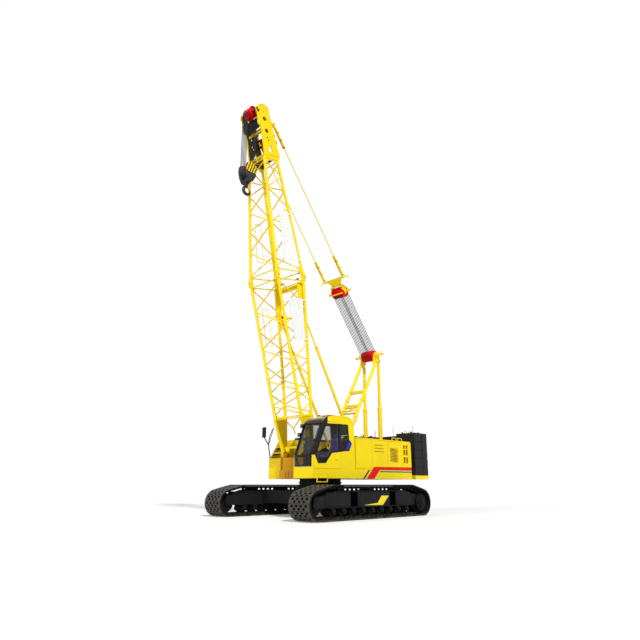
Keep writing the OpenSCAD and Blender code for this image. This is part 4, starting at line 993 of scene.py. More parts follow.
@dataclass
class Cab:
    """The operator's cab: seals, wiper, handles, seat, console and lamps."""

    side: float = 1.67
    well: float = 0.80
    low: float = 1.975
    high: float = 3.06
    front: float = 2.096
    lean: float = 0.44
    floor: float = 1.64
    middle: float = 1.235

    def screen_x(self, z: float) -> float:
        """Returns the windscreen's place along X at a height."""
        return self.front - self.lean * (z - self.low) / (self.high - self.low)

    def on_screen(self, y: float, z: float) -> tuple[float, float, float]:
        """Returns the point just ahead of the windscreen at Y and Z."""
        return (self.screen_x(z) + 0.012, y, z)

    def seated(self, x: float, y: float, z: float) -> Vector:
        """Returns the point at X, y to the left of the seat's middle and z over the floor."""
        return Vector((x, self.middle + y, self.floor + z))

    def window_seal(self, edge: float, way: int) -> Form:
        """Returns the side window's rubber seal, without what lies beyond the edge."""
        outline = (
            (self.screen_x(2.005) - 0.1, 2.005), (self.screen_x(3.05) - 0.19, 3.05), (0.345, 3.08),
            (0.282, 2.57), (0.146, 2.445), (0.291, 2.18), (0.516, 2.17), (1.169, 2.083),
            (1.473, 1.75), (1.837, 1.735),
        )
        seal = Form().slab(outline, self.side - SINK, self.side + 0.007, 0.0, 0.045)
        return seal.cut((edge, 0, 0), (way, 0, 0), True)

    def rim(self, form: Form, depth: Point, height: Point, margin: float, width: float) -> None:
        """Adds four bars round a front pane.

        Args:
            form: the shape that takes them.
            depth: where they start and end along X.
            height: where the pane starts and ends along Z.
            margin: how far they stand inside the cab's sides.
            width: the bars' width.
        """
        right, left = self.well + margin, self.side - margin
        for y in (right, left - width):
            form.block((depth[0], y, height[0]), (depth[1], y + width, height[1]))
        for z in (height[0], height[1] - width):
            form.block((depth[0], right, z), (depth[1], left, z + width))

    def seals(self) -> None:
        """Makes the rubber seals of the windows and the windscreen."""
        self.window_seal(0.742, 1).piece("rear_window_seal", BLACK)
        self.window_seal(0.770, -1).piece("door_window_seal", BLACK, Body.CAB_ENTRY)
        form = Form()
        self.rim(form, (-0.012, 0.010), (0.0, 1.17), 0.035, 0.035)
        lean = math.atan2(self.lean, self.high - self.low)
        form.moved(Matrix.Translation((self.front, 0, self.low)) @ Matrix.Rotation(-lean, 4, "Y"))
        inner = self.front - SINK
        self.rim(form, (inner, self.front + 0.008), (1.645, 1.955), 0.04, 0.03)
        form.block((inner, self.well + 0.03, 1.925), (self.front + 0.012, self.side - 0.03, 1.985), 0.004)
        form.piece("windscreen_seals", BLACK)

    def fittings(self) -> None:
        """Makes the wiper, the grab tube, the door's handle, the blue panel and the gutter."""
        base = self.on_screen(1.56, 2.02)
        arm = Form().rod(base, self.on_screen(1.56, 2.52), 0.009, 8)
        arm.rod(self.on_screen(1.57, 2.22), self.on_screen(1.57, 2.88), 0.010, 6)
        arm.disc(base, 0.03, 0.04, 16)
        arm.piece("wiper", BLACK)
        tube = ((1.60, 0.79, 2.02), (1.66, 0.78, 2.10), (1.56, 0.78, 2.52), (1.50, 0.79, 2.56))
        Form().pipe(tube, 0.010).piece("grab_tube", YELLOW)
        handle = Form().block((0.87, 1.666, 1.86), (1.03, 1.684, 1.92), 0.006)
        handle.rod((0.89, 1.69, 1.89), (1.01, 1.69, 1.89), 0.010, 10)
        handle.piece("door_handle", YELLOW, Body.CAB_ENTRY)
        corner = ((0.300, 2.55), (0.170, 2.440), (0.300, 2.195), (0.500, 2.185))
        Form().slab(corner, self.side - 0.02, self.side + 0.002, 0.004).piece("rear_corner_panel", BLUE)
        gutter = Form()
        line = ((1.36, 3.285), (0.42, 3.335), (0.19, 3.24), (0.10, 3.05))
        for y in (self.side - SINK, self.well + SINK):
            gutter.pipe([(x, y, z) for x, z in line], 0.012, 8)
        gutter.block((0.35, 0.95, 3.366), (1.10, 1.52, 3.374), 0.003)
        gutter.piece("roof_gutter", CAB)

    def lamps(self) -> None:
        """Makes the work lamps beside the cab and the round cap on its roof."""
        body, glass = Form(), Form()
        for z in (2.98, 2.68):
            x = self.screen_x(z) + 0.09
            body.rod((x - 0.10, 0.86, z), (x, 0.88, z), 0.012, 8)
            body.block((x - 0.03, 0.81, z - 0.06), (x + 0.06, 0.93, z + 0.06), 0.012)
            glass.block((x + 0.055, 0.825, z - 0.045), (x + 0.066, 0.915, z + 0.045), 0.004)
        body.rod((1.30, 1.20, 3.33), (1.30, 1.20, 3.36), 0.05, 16)
        body.piece("work_lamps", BLACK)
        glass.piece("work_lamp_glasses", LAMP)

    def inside(self) -> None:
        """Makes the seat with its cushions, the consoles, the levers and the pedals."""
        at = self.seated
        base = Form().block(at(0.60, -0.19, 0.01), at(0.98, 0.19, 0.25), 0.02)
        base.block(at(0.545, -0.26, 0.235), at(1.04, 0.26, 0.275), 0.01)
        base.piece("seat_base", CONSOLE)
        cushions = (
            ("seat_cushion", at(0.56, -0.25, 0.28), at(1.06, 0.25, 0.41), 0.0),
            ("seat_back", at(0.50, -0.23, 0.43), at(0.62, 0.23, 1.00), -0.10),
            ("head_rest", at(0.455, -0.13, 1.02), at(0.54, 0.13, 1.12), -0.05),
        )
        for name, low, high, lean in cushions:
            made = self.cushion(name, low, high, lean)
            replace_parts(made, "operator_seat")
        desk = Form()
        for y in (-0.36, 0.28):
            desk.block(at(0.62, y, 0.02), at(1.22, y + 0.08, 0.52), 0.02)
            for x in (1.06, 1.16):
                desk.rod(at(x, y + 0.04, 0.5), at(x + 0.03, y + 0.04, 0.68), 0.010, 8)
                desk.rod(at(x + 0.028, y + 0.04, 0.66), at(x + 0.036, y + 0.04, 0.73), 0.022, 12)
        desk.block(at(1.70, -0.30, 0.02), at(1.80, 0.05, 0.75), 0.02)
        desk.block(at(1.66, -0.24, 0.75), at(1.78, 0.0, 0.98), 0.015)
        for y in (-0.12, 0.06):
            desk.block(at(1.50, y, 0.03), at(1.66, y + 0.09, 0.07), 0.01)
        desk.piece("console_and_levers", CONSOLE)

    def cushion(self, name: str, low: Vector, high: Vector, lean: float) -> bpy.types.Object:
        """Makes one crowned cushion.

        Args:
            name: the piece's name.
            low: its lowest corner.
            high: its highest corner.
            lean: how far its top lies ahead of its bottom, so less than 0 for a leaning back.

        Returns:
            The new object.
        """
        form = Form().block(low, high)
        bmesh.ops.subdivide_edges(form.mesh, edges=form.mesh.edges, cuts=5, use_grid_fill=True)
        centre, half = (low + high) / 2, (high - low) / 2
        thin = min(range(3), key=lambda k: half[k])
        for vert in form.mesh.verts:
            share = [(vert.co[k] - centre[k]) / half[k] for k in range(3)]
            flat = [abs(share[k]) for k in range(3) if k != thin]
            crown = (1 - flat[0] ** 4) * (1 - flat[1] ** 4)
            vert.co[thin] = centre[thin] + share[thin] * half[thin] * (0.62 + 0.38 * crown)
            vert.co.x += lean * (vert.co.z - low.z) / (high.z - low.z)
        made = form.piece(name, SEAT, smooth=180)
        round_off = made.modifiers.new("roundness", "SUBSURF")
        round_off.levels = round_off.render_levels = 2
        return made

    def step(self) -> None:
        """Makes the entry step's upper posts and its rungs."""
        form = Form()
        for x in (1.38, 1.87):
            form.pipe(((x, 1.655, 1.43), (x, 1.70, 1.41), (x, 1.65, 1.15)), 0.013)
        for y, z in ((1.675, 1.29), (1.652, 1.155)):
            form.rod((1.37, y, z), (1.88, y, z), 0.013, 12)
        form.piece("entry_step_rails", YELLOW)

    def mirror_stalk(self) -> None:
        """Makes the forked tube that carries the right mirrors."""
        fork = (1.08, -1.68, 2.51)
        stalk = Form().pipe(((1.00, -1.655, 2.01), fork, (1.29, -1.70, 2.79)), 0.019)
        stalk.pipe((fork, (1.05, -1.66, 2.80), (1.00, -1.57, 3.06), (1.00, -1.49, 3.12)), 0.016)
        stalk.piece("mirror_stalk", BLACK)

    def build(self) -> None:
        """Makes all the cab's pieces."""
        dress(CAB, "cab_shell", "cab_door")
        dress(GLASS, "cab_glass", "cab_door_glass")
        dress(YELLOW, "cab_step")
        dress(BLACK, "mirrors")
        self.mirror_stalk()
        self.seals()
        self.fittings()
        self.lamps()
        self.inside()
        self.step()


@dataclass
class Houses:
    """The machinery houses: louvres, latches, hoops, steps and roof pieces."""

    side: float = 1.67
    rear: float = -3.41
    first_door: float = -0.09
    door_pitch: float = 0.93
    step_front: float = 1.04
    step_top: float = 1.99
    step_run: float = 0.18
    step_rise: float = 0.23

    def door_front(self, number: int) -> float:
        """Returns the front edge along X of a door, numbered from 0 at the front."""
        return self.first_door - number * self.door_pitch

    def louvres(self) -> None:
        """Makes the louvres of the rear doors, and painted shade in the middle door's slots, on the left rear
        louvres and on the rear screens.
        """
        side, x0, x1 = self.side, self.door_front(2) - 0.63, self.door_front(2) - 0.14
        for hand, body in ((1, Body.LEFT_REAR), (-1, Body.RIGHT_REAR)):
            form = Form()
            for k in range(9):
                z = 1.885 + k * 0.055
                form.block((x0, side - 0.016, z), (x1, side - 0.001, z + 0.012))
                form.block((x0, side - 0.019, z + 0.012), (x1, side - 0.015, z + 0.03))
            form.on_side(hand).piece(f"{HANDS[hand]}_louvres", YELLOW, body)
        slots, slats = Form(), Form()
        # Painted shade: brown slits on the middle door
        for z in (2.45, 2.34, 2.23):
            slots.block((-1.68, side - SINK, z - 0.008), (-1.10, side + 0.002, z + 0.008))
        slots.piece("door_slot_shadows", PAINTED_SHADE_BROWN, Body.LEFT_MIDDLE)
        # Painted shade: slanted brown bands on the left rear louvres
        for k in range(9):
            z = 1.90 + k * 0.054
            slat = ((-2.52, z), (-2.05, z + 0.03), (-2.05, z + 0.046), (-2.52, z + 0.016))
            slats.slab(slat, side - 0.012, side + 0.001)
        slats.piece("louvre_shadows", PAINTED_SHADE_BROWN, Body.LEFT_REAR)
        # Painted shade: brown screens set back in the rear openings
        screens = Form().block((self.rear + 0.18, side - 0.055, 1.80), (self.rear + 0.53, side - 0.042, 2.56))
        screens.both().piece("rear_screens_in_painted_shade", PAINTED_SHADE_BROWN)

    def latches(self) -> None:
        """Makes two latches and a grip on each house door."""
        doors = (
            ("left_front", 1, 0, Body.LEFT_FRONT), ("left_middle", 1, 1, Body.LEFT_MIDDLE),
            ("left_rear", 1, 2, Body.LEFT_REAR), ("right_front", -1, 1, Body.RIGHT_FRONT),
            ("right_rear", -1, 2, Body.RIGHT_REAR),
        )
        for name, hand, number, body in doors:
            front, inner = self.door_front(number), self.side - 0.002
            rear, outer = front - 0.835, self.side + 0.010
            latch = Form()
            for z in (1.72, 2.55):
                latch.block((rear, inner, z - 0.035), (rear + 0.05, outer, z + 0.035), 0.004)
            latch.block((front - 0.83, inner, 2.10), (front - 0.80, self.side + 0.014, 2.22), 0.005)
            latch.on_side(hand).piece(f"{name}_latches", STRIPED, body)

    def roofs(self) -> None:
        """Makes the hoops, rods, rails and machine pieces on the two roofs."""
        yellow, black, thin, roof = Form(), Form(), Form(), 2.67
        for x in (-2.50, -2.86):
            rear, top = x - 0.26, roof + 0.13
            yellow.pipe(((x, 1.45, roof), (x, 1.45, top), (rear, 1.45, top), (rear, 1.45, roof)), 0.014)
        yellow.block((-3.30, -1.55, 2.672), (-0.30, -1.05, 2.69), 0.004)
        yellow.block((-3.30, 0.92, 2.672), (-2.30, 1.35, 2.688), 0.004)
        yellow.piece("roof_hoops", STRIPED)
        for x, length in ((-0.45, 0.34), (-1.30, 0.5), (-2.25, 0.42), (-2.95, 0.3)):
            black.block((x - length / 2, -1.42, 2.688), (x + length / 2, -1.12, 2.80), 0.02)
        for x in (-0.15, -0.85, -1.85, -2.62):
            black.disc((x, -1.26, 2.75), 0.075, 0.42, 20, 0.01)
        for k in range(6):
            x = -0.02 - k * 0.60
            black.rod((x, 0.86, roof), (x, 0.86, 2.755), 0.013, 8)
        black.rod((-3.02, 0.86, 2.755), (-0.02, 0.86, 2.755), 0.014, 8)
        black.rod((-2.0, -1.0, 2.69), (-2.0, -1.0, 2.93), 0.065, 20, 0.06)
        black.rod((-2.0, -1.0, 2.90), (-2.10, -1.0, 3.0), 0.062, 20)
        for k in range(9):
            black.disc((-0.35 - k * 0.22, 1.02, 2.70), 0.085, 0.20, 22, 0.012)
        black.piece("roof_machine_pieces", BLACK)
        for x, y in ((-0.12, 1.28), (-1.95, 1.05)):
            thin.rod((x, y, roof), (x, y, roof + 0.36), 0.006, 6)
            thin.rod((x, y, roof), (x, y, roof + 0.05), 0.02, 10)
        thin.piece("aerials", BLACK)

    def stairs(self) -> None:
        """Makes the treads, risers, noses and the side plate of the tank's steps."""
        treads, noses, right, left = Form(), Form(), -1.60, -0.84
        for i in (1, 2):
            x, top = self.step_front - i * self.step_run, self.step_top + i * self.step_rise
            treads.block((x - 0.16, right, top - 0.001), (x + 0.068, left, top + 0.004), 0.001)
            treads.block((x - 0.01, right, top - 0.20), (x + 0.006, left, top - 0.045))
        for y in (-1.5, -1.3, -1.1, -0.95):
            treads.rod((0.98, y, 1.992), (0.90, y, 1.996), 0.05, 12)
        treads.piece("stair_treads", BLACK)
        for i in range(3):
            x, top = self.step_front + 0.005 - i * self.step_run, self.step_top + i * self.step_rise
            noses.rod((x, -1.62, top), (x, left, top), 0.020, 12)
        for x, z in ((0.868, 2.06), (0.868, 2.10), (0.688, 2.29), (0.688, 2.33)):
            noses.block((x, right, z - 0.006), (x + 0.008, -0.86, z + 0.006))
        noses.slab(((1.04, 1.99), (0.68, 2.45), (0.62, 2.45), (0.98, 1.95)), -1.655, -1.635, 0.004)
        noses.piece("stair_noses", YELLOW)

    def front(self) -> None:
        """Makes the deck's ribs in brown painted shade, the tie and the pin caps at the boom's foot, and the
        tank's panel.
        """
        ribs, tie, caps = Form(), Form(), Form()
        # Painted shade: dark brown ribs on the deck's front
        for y in (-0.44, -0.30, -0.14, 0.02, 0.18, 0.36):
            ribs.block((1.298, y - 0.008, 1.30), (1.307, y + 0.008, 1.54))
        ribs.piece("deck_front_shaded_ribs", PAINTED_SHADE_BROWN)
        tie.block((1.14, -0.59, 2.30), (1.24, 0.59, 2.38), 0.012)
        tie.disc((1.22, -0.42, 2.27), 0.10, 0.10, 28, 0.010)
        tie.disc((1.24, -0.42, 2.27), 0.045, 0.14, 20, 0.006)
        tie.piece("boom_foot_tie", YELLOW, Body.BOOM)
        foot, lug = (LATTICE.foot[0], 0, LATTICE.foot[1]), 0.675
        caps.discs(foot, (lug + 0.088, lug - 0.088), 0.075, 0.02, 28, 0.004)
        caps.both().piece("boom_foot_pin_caps", YELLOW, Body.BOOM)
        Form().block((1.034, -1.60, 1.70), (1.046, -0.88, 1.95), 0.004).piece("tank_front_panel", YELLOW)

    def build(self) -> None:
        """Makes all the houses' pieces."""
        dress(STRIPED, "upper_frame", "left_house", "left_door_front", "left_door_middle",
              "left_door_rear", "right_house", "right_door_front", "right_door_rear")
        dress(YELLOW, "right_tank", "counterweight_tray")
        dress(CAST, "engine")
        self.louvres()
        self.latches()
        self.roofs()
        self.stairs()
        self.front()


@dataclass
class Ballast:
    """The counterweight's lifting lugs, seams, rails and rods."""

    top: float = 3.08

    def build(self) -> None:
        """Makes all the counterweight's pieces."""
        dress(BALLAST, "counterweight")
        lugs, rails, rods = Form(), Form(), Form()
        inner, outer = self.top - 0.02, self.top + 0.05
        for x in (-3.80, -4.30):
            for y in (1.02, 1.45):
                lugs.block((x - 0.05, y - 0.012, inner), (x + 0.05, y + 0.012, outer), 0.008)
        for z in (1.62, 1.95, 2.28, 2.62, 2.94):
            lugs.block((-3.668, 1.10, z), (-3.655, 1.34, z + 0.05), 0.004)
        lugs.both().piece("ballast_lugs", BALLAST)
        seam = Form().block((-4.207, 1.676, 1.43), (-4.193, 1.684, 3.05))
        seam.both().piece("ballast_seams", SHADE_AND_SEAM_BLACK)
        low, high = self.top - 0.016, self.top + 0.07
        for x in (-3.76, -4.05, -4.40):
            hoop = ((x, low), (x, high), (x - 0.16, high), (x - 0.16, low))
            rails.pipe([(along, 1.15, z) for along, z in hoop], 0.012)
        rails.both().piece("ballast_rails", YELLOW)
        for x, y in ((-3.75, 0.6), (-4.2, 1.25), (-4.45, -0.9)):
            rods.rod((x, y, self.top - 0.12), (x, y, self.top + 0.30), 0.007, 6)
        rods.piece("ballast_rods", BLACK)


@dataclass
class Gantry:
    """The gantry's sheaves, pin arms and fittings."""

    side: float = 0.39
    foot: tuple[float, float] = (-0.48, 1.71)

    def on_leg(self, z: float, share: float) -> Vector:
        """Returns a point between the front legs' middles, from -1 on the right to 1 on the left."""
        return Vector((self.foot[0] - 2.63 * (z - self.foot[1]) / 4.52, share * self.side, z))

    def sheaves(self) -> None:
        """Makes the red sheaves on their shaft between two cheeks."""
        red = Form().sheaves(GANTRY_PIN, LUFFING_SHEAVE, 0.055, 7)
        red.disc(GANTRY_PIN, 0.06, 0.70, 24)
        red.discs(GANTRY_PIN, (-0.275, 0.275), 0.225, 0.016, 40, 0.004)
        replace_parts(red.piece("gantry_grooved_sheaves", RED), "gantry_sheaves")

    def arms(self) -> None:
        """Makes the pin arms that reach out beside the sheaves."""
        form, (x, _, z) = Form(), GANTRY_PIN
        for hand in HANDS:
            form.rod((x, hand * 0.33, z), (x, hand * 0.72, z), 0.045, 24, 0.038)
            form.disc((x, hand * 0.715, z), 0.055, 0.05, 24, 0.008)
            form.disc((x, hand * 0.46, z), 0.085, 0.05, 28, 0.008)
            form.rod((x - 0.02, hand * 0.60, z + 0.02), (x - 0.09, hand * 0.60, z + 0.16), 0.02, 10)
        form.piece("gantry_pin_arms", YELLOW)

    def collars(self) -> None:
        """Makes the legs' collars, caps, cross tubes and blocks."""
        form = Form()
        for hand in HANDS:
            y = hand * self.side
            form.disc((self.foot[0], y, self.foot[1]), 0.085, 0.11, 28, 0.006)
            form.disc((-3.16, y, 4.09), 0.098, 0.01, 28)
            form.rod((-3.16, y, 4.00), (-3.16, y, 4.13), 0.094, 28)
            form.block((-1.62, y - 0.05, 3.43), (-1.50, y + 0.05, 3.50), 0.01)
            form.block((-3.20, y - 0.075, 6.02), (-3.02, y + 0.075, 6.16), 0.015)
            for z in (3.60, 4.30):
                form.rod(self.on_leg(z, hand), self.on_leg(z + 0.09, hand), 0.082, 24, None, 0.01)
        x = self.on_leg(4.70, 0).x
        form.block((x - 0.06, -self.side, 4.64), (x + 0.06, self.side, 4.76), 0.012)
        for z in (3.78, 4.12):
            form.rod(self.on_leg(z, -1), self.on_leg(z, 1), 0.036, 20)
        form.rod(self.on_leg(3.79, -0.9), self.on_leg(4.11, 0.9), 0.020, 12)
        form.piece("gantry_collars", YELLOW)

    def build(self) -> None:
        """Makes all the gantry's pieces."""
        dress(YELLOW, "gantry_front_legs", "gantry_rear_legs")
        self.sheaves()
        self.arms()
        self.collars()


@dataclass
class Luffing:
    """The luffing ropes, the bridle with its horns, and the pendants' ends."""

    rope: float = 0.0125

    def ropes(self) -> None:
        """Makes the falls between the gantry and the bridle."""
        form, steps = Form(), 6
        up = Vector((-ROPE_WAY.z, 0, ROPE_WAY.x)) * (LUFFING_SHEAVE - 0.016)
        for i in range(-3, 4):
            for way in (-1, 1):
                aside = up * way + Vector((0, i * ROPE_PITCH, 0))
                start, end = GANTRY_PIN + aside, BRIDLE_PIN + aside
                for k in range(steps):
                    form.rod(start.lerp(end, k / steps), start.lerp(end, (k + 1) / steps), self.rope, 8)
        bmesh.ops.remove_doubles(form.mesh, verts=form.mesh.verts, dist=0.0005)
        made = form.piece("luffing_rope_falls", ROPE, Body.LUFFING_LINE, 60, False)
        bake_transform(made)
        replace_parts(made, "luffing_ropes")

    def bridle(self) -> None:
        """Makes the bridle's sheaves, its yoke and its horns."""
        red = Form().sheaves(BRIDLE_PIN, LUFFING_SHEAVE, 0.045, 7)
        red.discs(BRIDLE_PIN, (-0.272, 0.272), 0.235, 0.014, 40, 0.003)
        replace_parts(red.piece("bridle_grooved_sheaves", RED, Body.BRIDLE), "bridle")
        yoke = Form().disc((0, 0, 0), 0.034, 1.18, 20)
        cheek = ((-0.10, -0.07), (-0.10, 0.07), (0.30, 0.09), (0.30, -0.09))
        eye = ((0.56, -0.05), (0.56, 0.05), (0.66, 0.04), (0.66, -0.04))
        wing = (
            (0.28, -0.20), (0.28, 0.20), (0.50, 0.34), (0.58, 0.50), (0.63, 0.50), (0.63, -0.50),
            (0.58, -0.50), (0.50, -0.34),
        )
        for hand in HANDS:
            yoke.disc((0, hand * 0.565, 0), 0.052, 0.06, 20, 0.01)
            yoke.disc((0, hand * 0.31, 0), 0.075, 0.05, 24, 0.006)
            yoke.slab(cheek, hand * 0.292, hand * 0.316, 0.004)
            for side in (1, -1):
                start, end = (0.10, hand * 0.30, side * 0.10), (0.44, hand * 0.16, side * 0.02)
                yoke.rod(start, end, 0.022, 12)
            yoke.disc((0.60, hand * PENDANT_SIDE, 0), 0.058, 0.09, 24, 0.008)
            horn = ((0.60, 0.50, 0.0), (0.60, 0.62, 0.05 * hand), (0.50, 0.66, 0.15 * hand))
            yoke.pipe([(x, hand * y, z) for x, y, z in horn], 0.028)
            for y in (0.462, 0.545):
                yoke.slab(eye, hand * y, hand * (y + 0.016), 0.003)
        for z in (0.20, -0.245):
            yoke.block((-0.02, -0.30, z), (0.03, 0.30, z + 0.045), 0.01)
        flat = Form().slab(wing, -0.022, 0.022, 0.006)
        yoke.copies(flat, [Matrix.Rotation(math.radians(90), 4, "X")])
        yoke.block((0.27, -0.31, -0.085), (0.31, 0.31, 0.085), 0.008)
        yoke.moved(along_rope(BRIDLE_PIN)).piece("bridle_yoke", YELLOW, Body.BRIDLE)

    def pendants(self) -> None:
        """Makes the pendants' link plates, bolts and pins."""
        dress(YELLOW, "pendants")
        reach = (PENDANT_PIN - BRIDLE_TOP).length
        links, bolts, sides = Form(), Form(), (-PENDANT_SIDE, PENDANT_SIDE)
        link = ((0, -0.034), (0.27, -0.034), (0.29, 0), (0.27, 0.034), (0, 0.034), (-0.02, 0))
        for start in (0.03, reach - 0.98):
            for x in (start, start + 0.30, start + 0.60):
                outline = [(x + along, across) for along, across in link]
                for y in sides:
                    links.slab(outline, y + 0.036, y + 0.048, 0.003)
                    links.slab(outline, y - 0.048, y - 0.036, 0.003)
                bolts.discs((x + 0.02, 0, 0), sides, 0.022, 0.125, 14, 0.003)
        for part, name, finish in ((links, "pendant_links", YELLOW), (bolts, "pendant_bolts", BLACK)):
            part.moved(along_rope(BRIDLE_TOP)).piece(name, finish, Body.BRIDLE)
        pins = Form().discs(PENDANT_PIN, sides, 0.0245, 0.13, 20, 0.003)
        pins.disc(PENDANT_PIN, 0.024, 1.14, 20)
        pins.piece("pendant_pins", STEEL, Body.BOOM)

    def build(self) -> None:
        """Makes all the luffing gear's pieces."""
        self.ropes()
        self.bridle()
        self.pendants()


@dataclass
class Boom:
    """The boom's gussets, joints, rails, hoops, head pieces and backstops."""

    chord: float = 0.108
    foot_side: float = 0.675
    cheek_side: float = 0.446
    backstop_side: float = 0.62

    def put(self, form: Form, name: str, finish: Finish = YELLOW) -> None:
        """Moves a shape from the boom's own frame to its place and makes it a piece."""
        form.moved(LATTICE.matrix()).piece(name, finish, Body.BOOM)

    def joints(self) -> None:
        """Makes the lugs and pins where the boom's two sections meet."""
        s = LATTICE.joint
        depth, width = LATTICE.depth(s), LATTICE.width(s)
        places = [Matrix.Translation((d * depth, y * width, s)) for y in (-1, 1) for d in (-1, 1)]
        lug = Form().block((-0.060, -0.068, -0.16), (0.060, -0.044, 0.13), 0.008).both()
        pin = Form().disc((0, 0, 0), 0.036, 0.19, 20, 0.006).disc((0, 0.09, 0), 0.050, 0.02, 20, 0.003)
        self.put(Form().copies(lug, places), "boom_joint_lugs")
        self.put(Form().copies(pin, places), "boom_joint_pins")

    def gussets(self) -> None:
        """Makes the small plates where the bracing's frames meet the chords."""
        form = Form()
        for s in (1.36, 6.17, 6.63, 10.96):
            for side in (-1, 1):
                outer, inner = side * (LATTICE.depth(s) - 0.03), side * (LATTICE.depth(s) - 0.17)
                outline = ((outer, s - 0.09), (inner, s - 0.01), (inner, s + 0.01), (outer, s + 0.09))
                for y in (-LATTICE.width(s), LATTICE.width(s)):
                    form.slab(outline, y - 0.008, y + 0.008)
        self.put(form, "boom_gussets")

    def foot(self) -> None:
        """Makes the stiffening rims, bosses and cross plate of the boom's feet."""
        form = Form()
        outline = ((-0.10, 0.10), (0.10, 0.10), (0.295, 1.31), (-0.295, 1.31))
        for y in (-self.foot_side, self.foot_side):
            form.slab(outline, y - 0.055, y + 0.055, 0.0, 0.028)
            form.disc((0, y, 0), 0.115, 0.074, 32, 0.006)
        form.block((-0.27, -0.66, 1.26), (0.27, 0.66, 1.285), 0.004)
        for y in (-0.42, 0.42):
            form.rod((0.05, y, 1.27), (0.05, 0.0, 0.90), 0.022, 12)
        form.rod((0.05, 0.0, 0.92), (0.05, 0.06, 0.72), 0.020, 12)
        self.put(form, "boom_foot_rims")

    def rails(self) -> None:
        """Makes the box rails, the guide rollers and the hoops of the boards' frames."""
        rails, dark, hoops, low, high = Form(), Form(), Form(), 4.92, 6.20
        d0, d1 = -LATTICE.depth(low) - 0.02, -LATTICE.depth(high) - 0.02
        outline = ((d0 - 0.02, low), (d0 + 0.20, low + 0.10), (d1 + 0.24, high - 0.02), (d1 - 0.02, high))
        rollers = (
            (-0.655, 0.40, 6.37, 0.03, 0.16), (-0.650, 0.55, 6.58, 0.03, 0.16),
            (-0.63, 0.62, 5.10, 0.05, 0.12),
        )
        for y in (-1, 1):
            rails.slab(outline, y * 0.63 - 0.035, y * 0.63 + 0.035, 0.006)
            for ahead, aside, s, radius, width in rollers:
                dark.disc((ahead, y * aside, s), radius, width, 16, 0.004)
        rails.block((-0.66, -0.64, 6.10), (-0.46, 0.64, 6.125), 0.004)
        rails.block((-0.66, -0.64, 6.00), (-0.62, 0.64, 6.10), 0.004)
        front, rear = 0.19, -0.10
        for s0, s1 in ((7.27, 8.76), (4.0, 5.45)):
            y0, y1 = -LATTICE.width(s0) - 0.062, -LATTICE.width(s1) - 0.062
            corners = ((front, y0, s0), (front, y1, s1), (rear, y1, s1), (rear, y0, s0), (front, y0, s0))
            hoops.pipe(corners, 0.010, 8)
            for s, y in ((s0 + 0.3, y0), (s1 - 0.3, y1)):
                for end, side in ((rear, -1), (front, 1)):
                    chord = (side * LATTICE.depth(s), -LATTICE.width(s), s)
                    hoops.rod((end, y, s), chord, 0.008, 6)
        self.put(rails, "boom_box_rails")
        self.put(dark, "boom_guide_rollers", BLACK)
        self.put(hoops, "boom_side_hoops")

    def boards(self) -> None:
        """Makes the folded upper and lower rims of the two blank boards."""
        form = Form()
        for s0, s1, front, rear in ((3.96, 5.52, 0.26, 0.17), (6.96, 8.88, 0.36, 0.13)):
            for s in (s0 + 0.03, s1 - 0.03):
                y = LATTICE.width(s) + self.chord / 2 + 0.014
                low, high = rear - LATTICE.depth(s), LATTICE.depth(s) - front
                form.block((low, y - 0.004, s - 0.012), (high, y + 0.006, s + 0.012))
        self.put(form, "board_rims", BOARD)

    def head_sheaves(self) -> None:
        """Makes the head's sheaves with their guards, shaft and knobs, and the guide sheaves."""
        pin = SHEAVE_PIN
        red = Form().sheaves(pin, 0.20, 0.055, 5).discs(pin, (-0.20, 0.20), 0.195, 0.014, 40, 0.004)
        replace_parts(red.piece("head_grooved_sheaves", RED, Body.BOOM), "head_sheaves")
        guard = Form()
        for y0, y1 in ((-0.245, -0.12), (-0.03, 0.03), (0.12, 0.245)):
            guard.slab(strip((pin.x, pin.z), 0.228, 0.214, 54, 7.6, 11), y0, y1)
        for s, d in ((12.17, -0.37), (11.90, -0.43)):
            p = LATTICE.point(s, d)
            for y in (0.30, -0.30):
                guard.lathe(sheave(0.13, 0.03, 0.05), (p.x, y, p.z), 32)
        guard.piece("head_guard", RED, Body.BOOM)
        shaft = Form().disc(pin, 0.054, 0.90, 28)
        shaft.discs(pin, (-0.475, 0.475), 0.080, 0.03, 28, 0.006)
        shaft.discs(pin, (-0.50, 0.50), 0.035, 0.06, 16)
        shaft.piece("head_shaft", BLACK, Body.BOOM)
        knobs = Form().discs(pin, (-0.53, 0.53), 0.05, 0.04, 20, 0.008)
        knobs.discs(LATTICE.point(13.17, 0.03), (0.466, -0.466), 0.075, 0.03, 24, 0.004)
        knobs.piece("head_knobs", YELLOW, Body.BOOM)

    def head_plates(self) -> None:
        """Makes the head's edge rims and tubes, its dark plates and rods, and painted shade in its holes:
        dark discs behind them and dark rings round them.
        """
        sides = (self.cheek_side, -self.cheek_side)
        outline = (
            (0.31, 11.16), (0.31, 12.28), (0.445, 12.41), (0.42, 12.76), (0.47, 12.92),
            (0.47, 13.04), (0.22, 13.24), (0.06, 13.28), (-0.15, 13.20), (-0.22, 12.66),
            (-0.33, 12.57), (-0.33, 12.47), (-0.25, 12.38), (-0.47, 11.24),
        )
        rims = Form()
        for y in sides:
            rims.slab(outline, y - 0.034, y + 0.034, 0.0, 0.014)
        for s, d in ((12.23, 0.18), (12.47, -0.06), (11.22, 0.20)):
            rims.disc((d, 0, s), 0.052, 0.84, 24)
        self.put(rims, "head_rims")
        plates = Form().block((0.30, -0.36, 12.30), (0.312, 0.36, 12.74), 0.003)
        # Painted shade: dark discs just inside the near plate, behind its holes
        for s, d in ((12.67, 0.10), (12.18, 0.06), (11.86, 0.02)):
            plates.disc((d, 0.405, s), 0.085, 0.012, 28, 0.002)
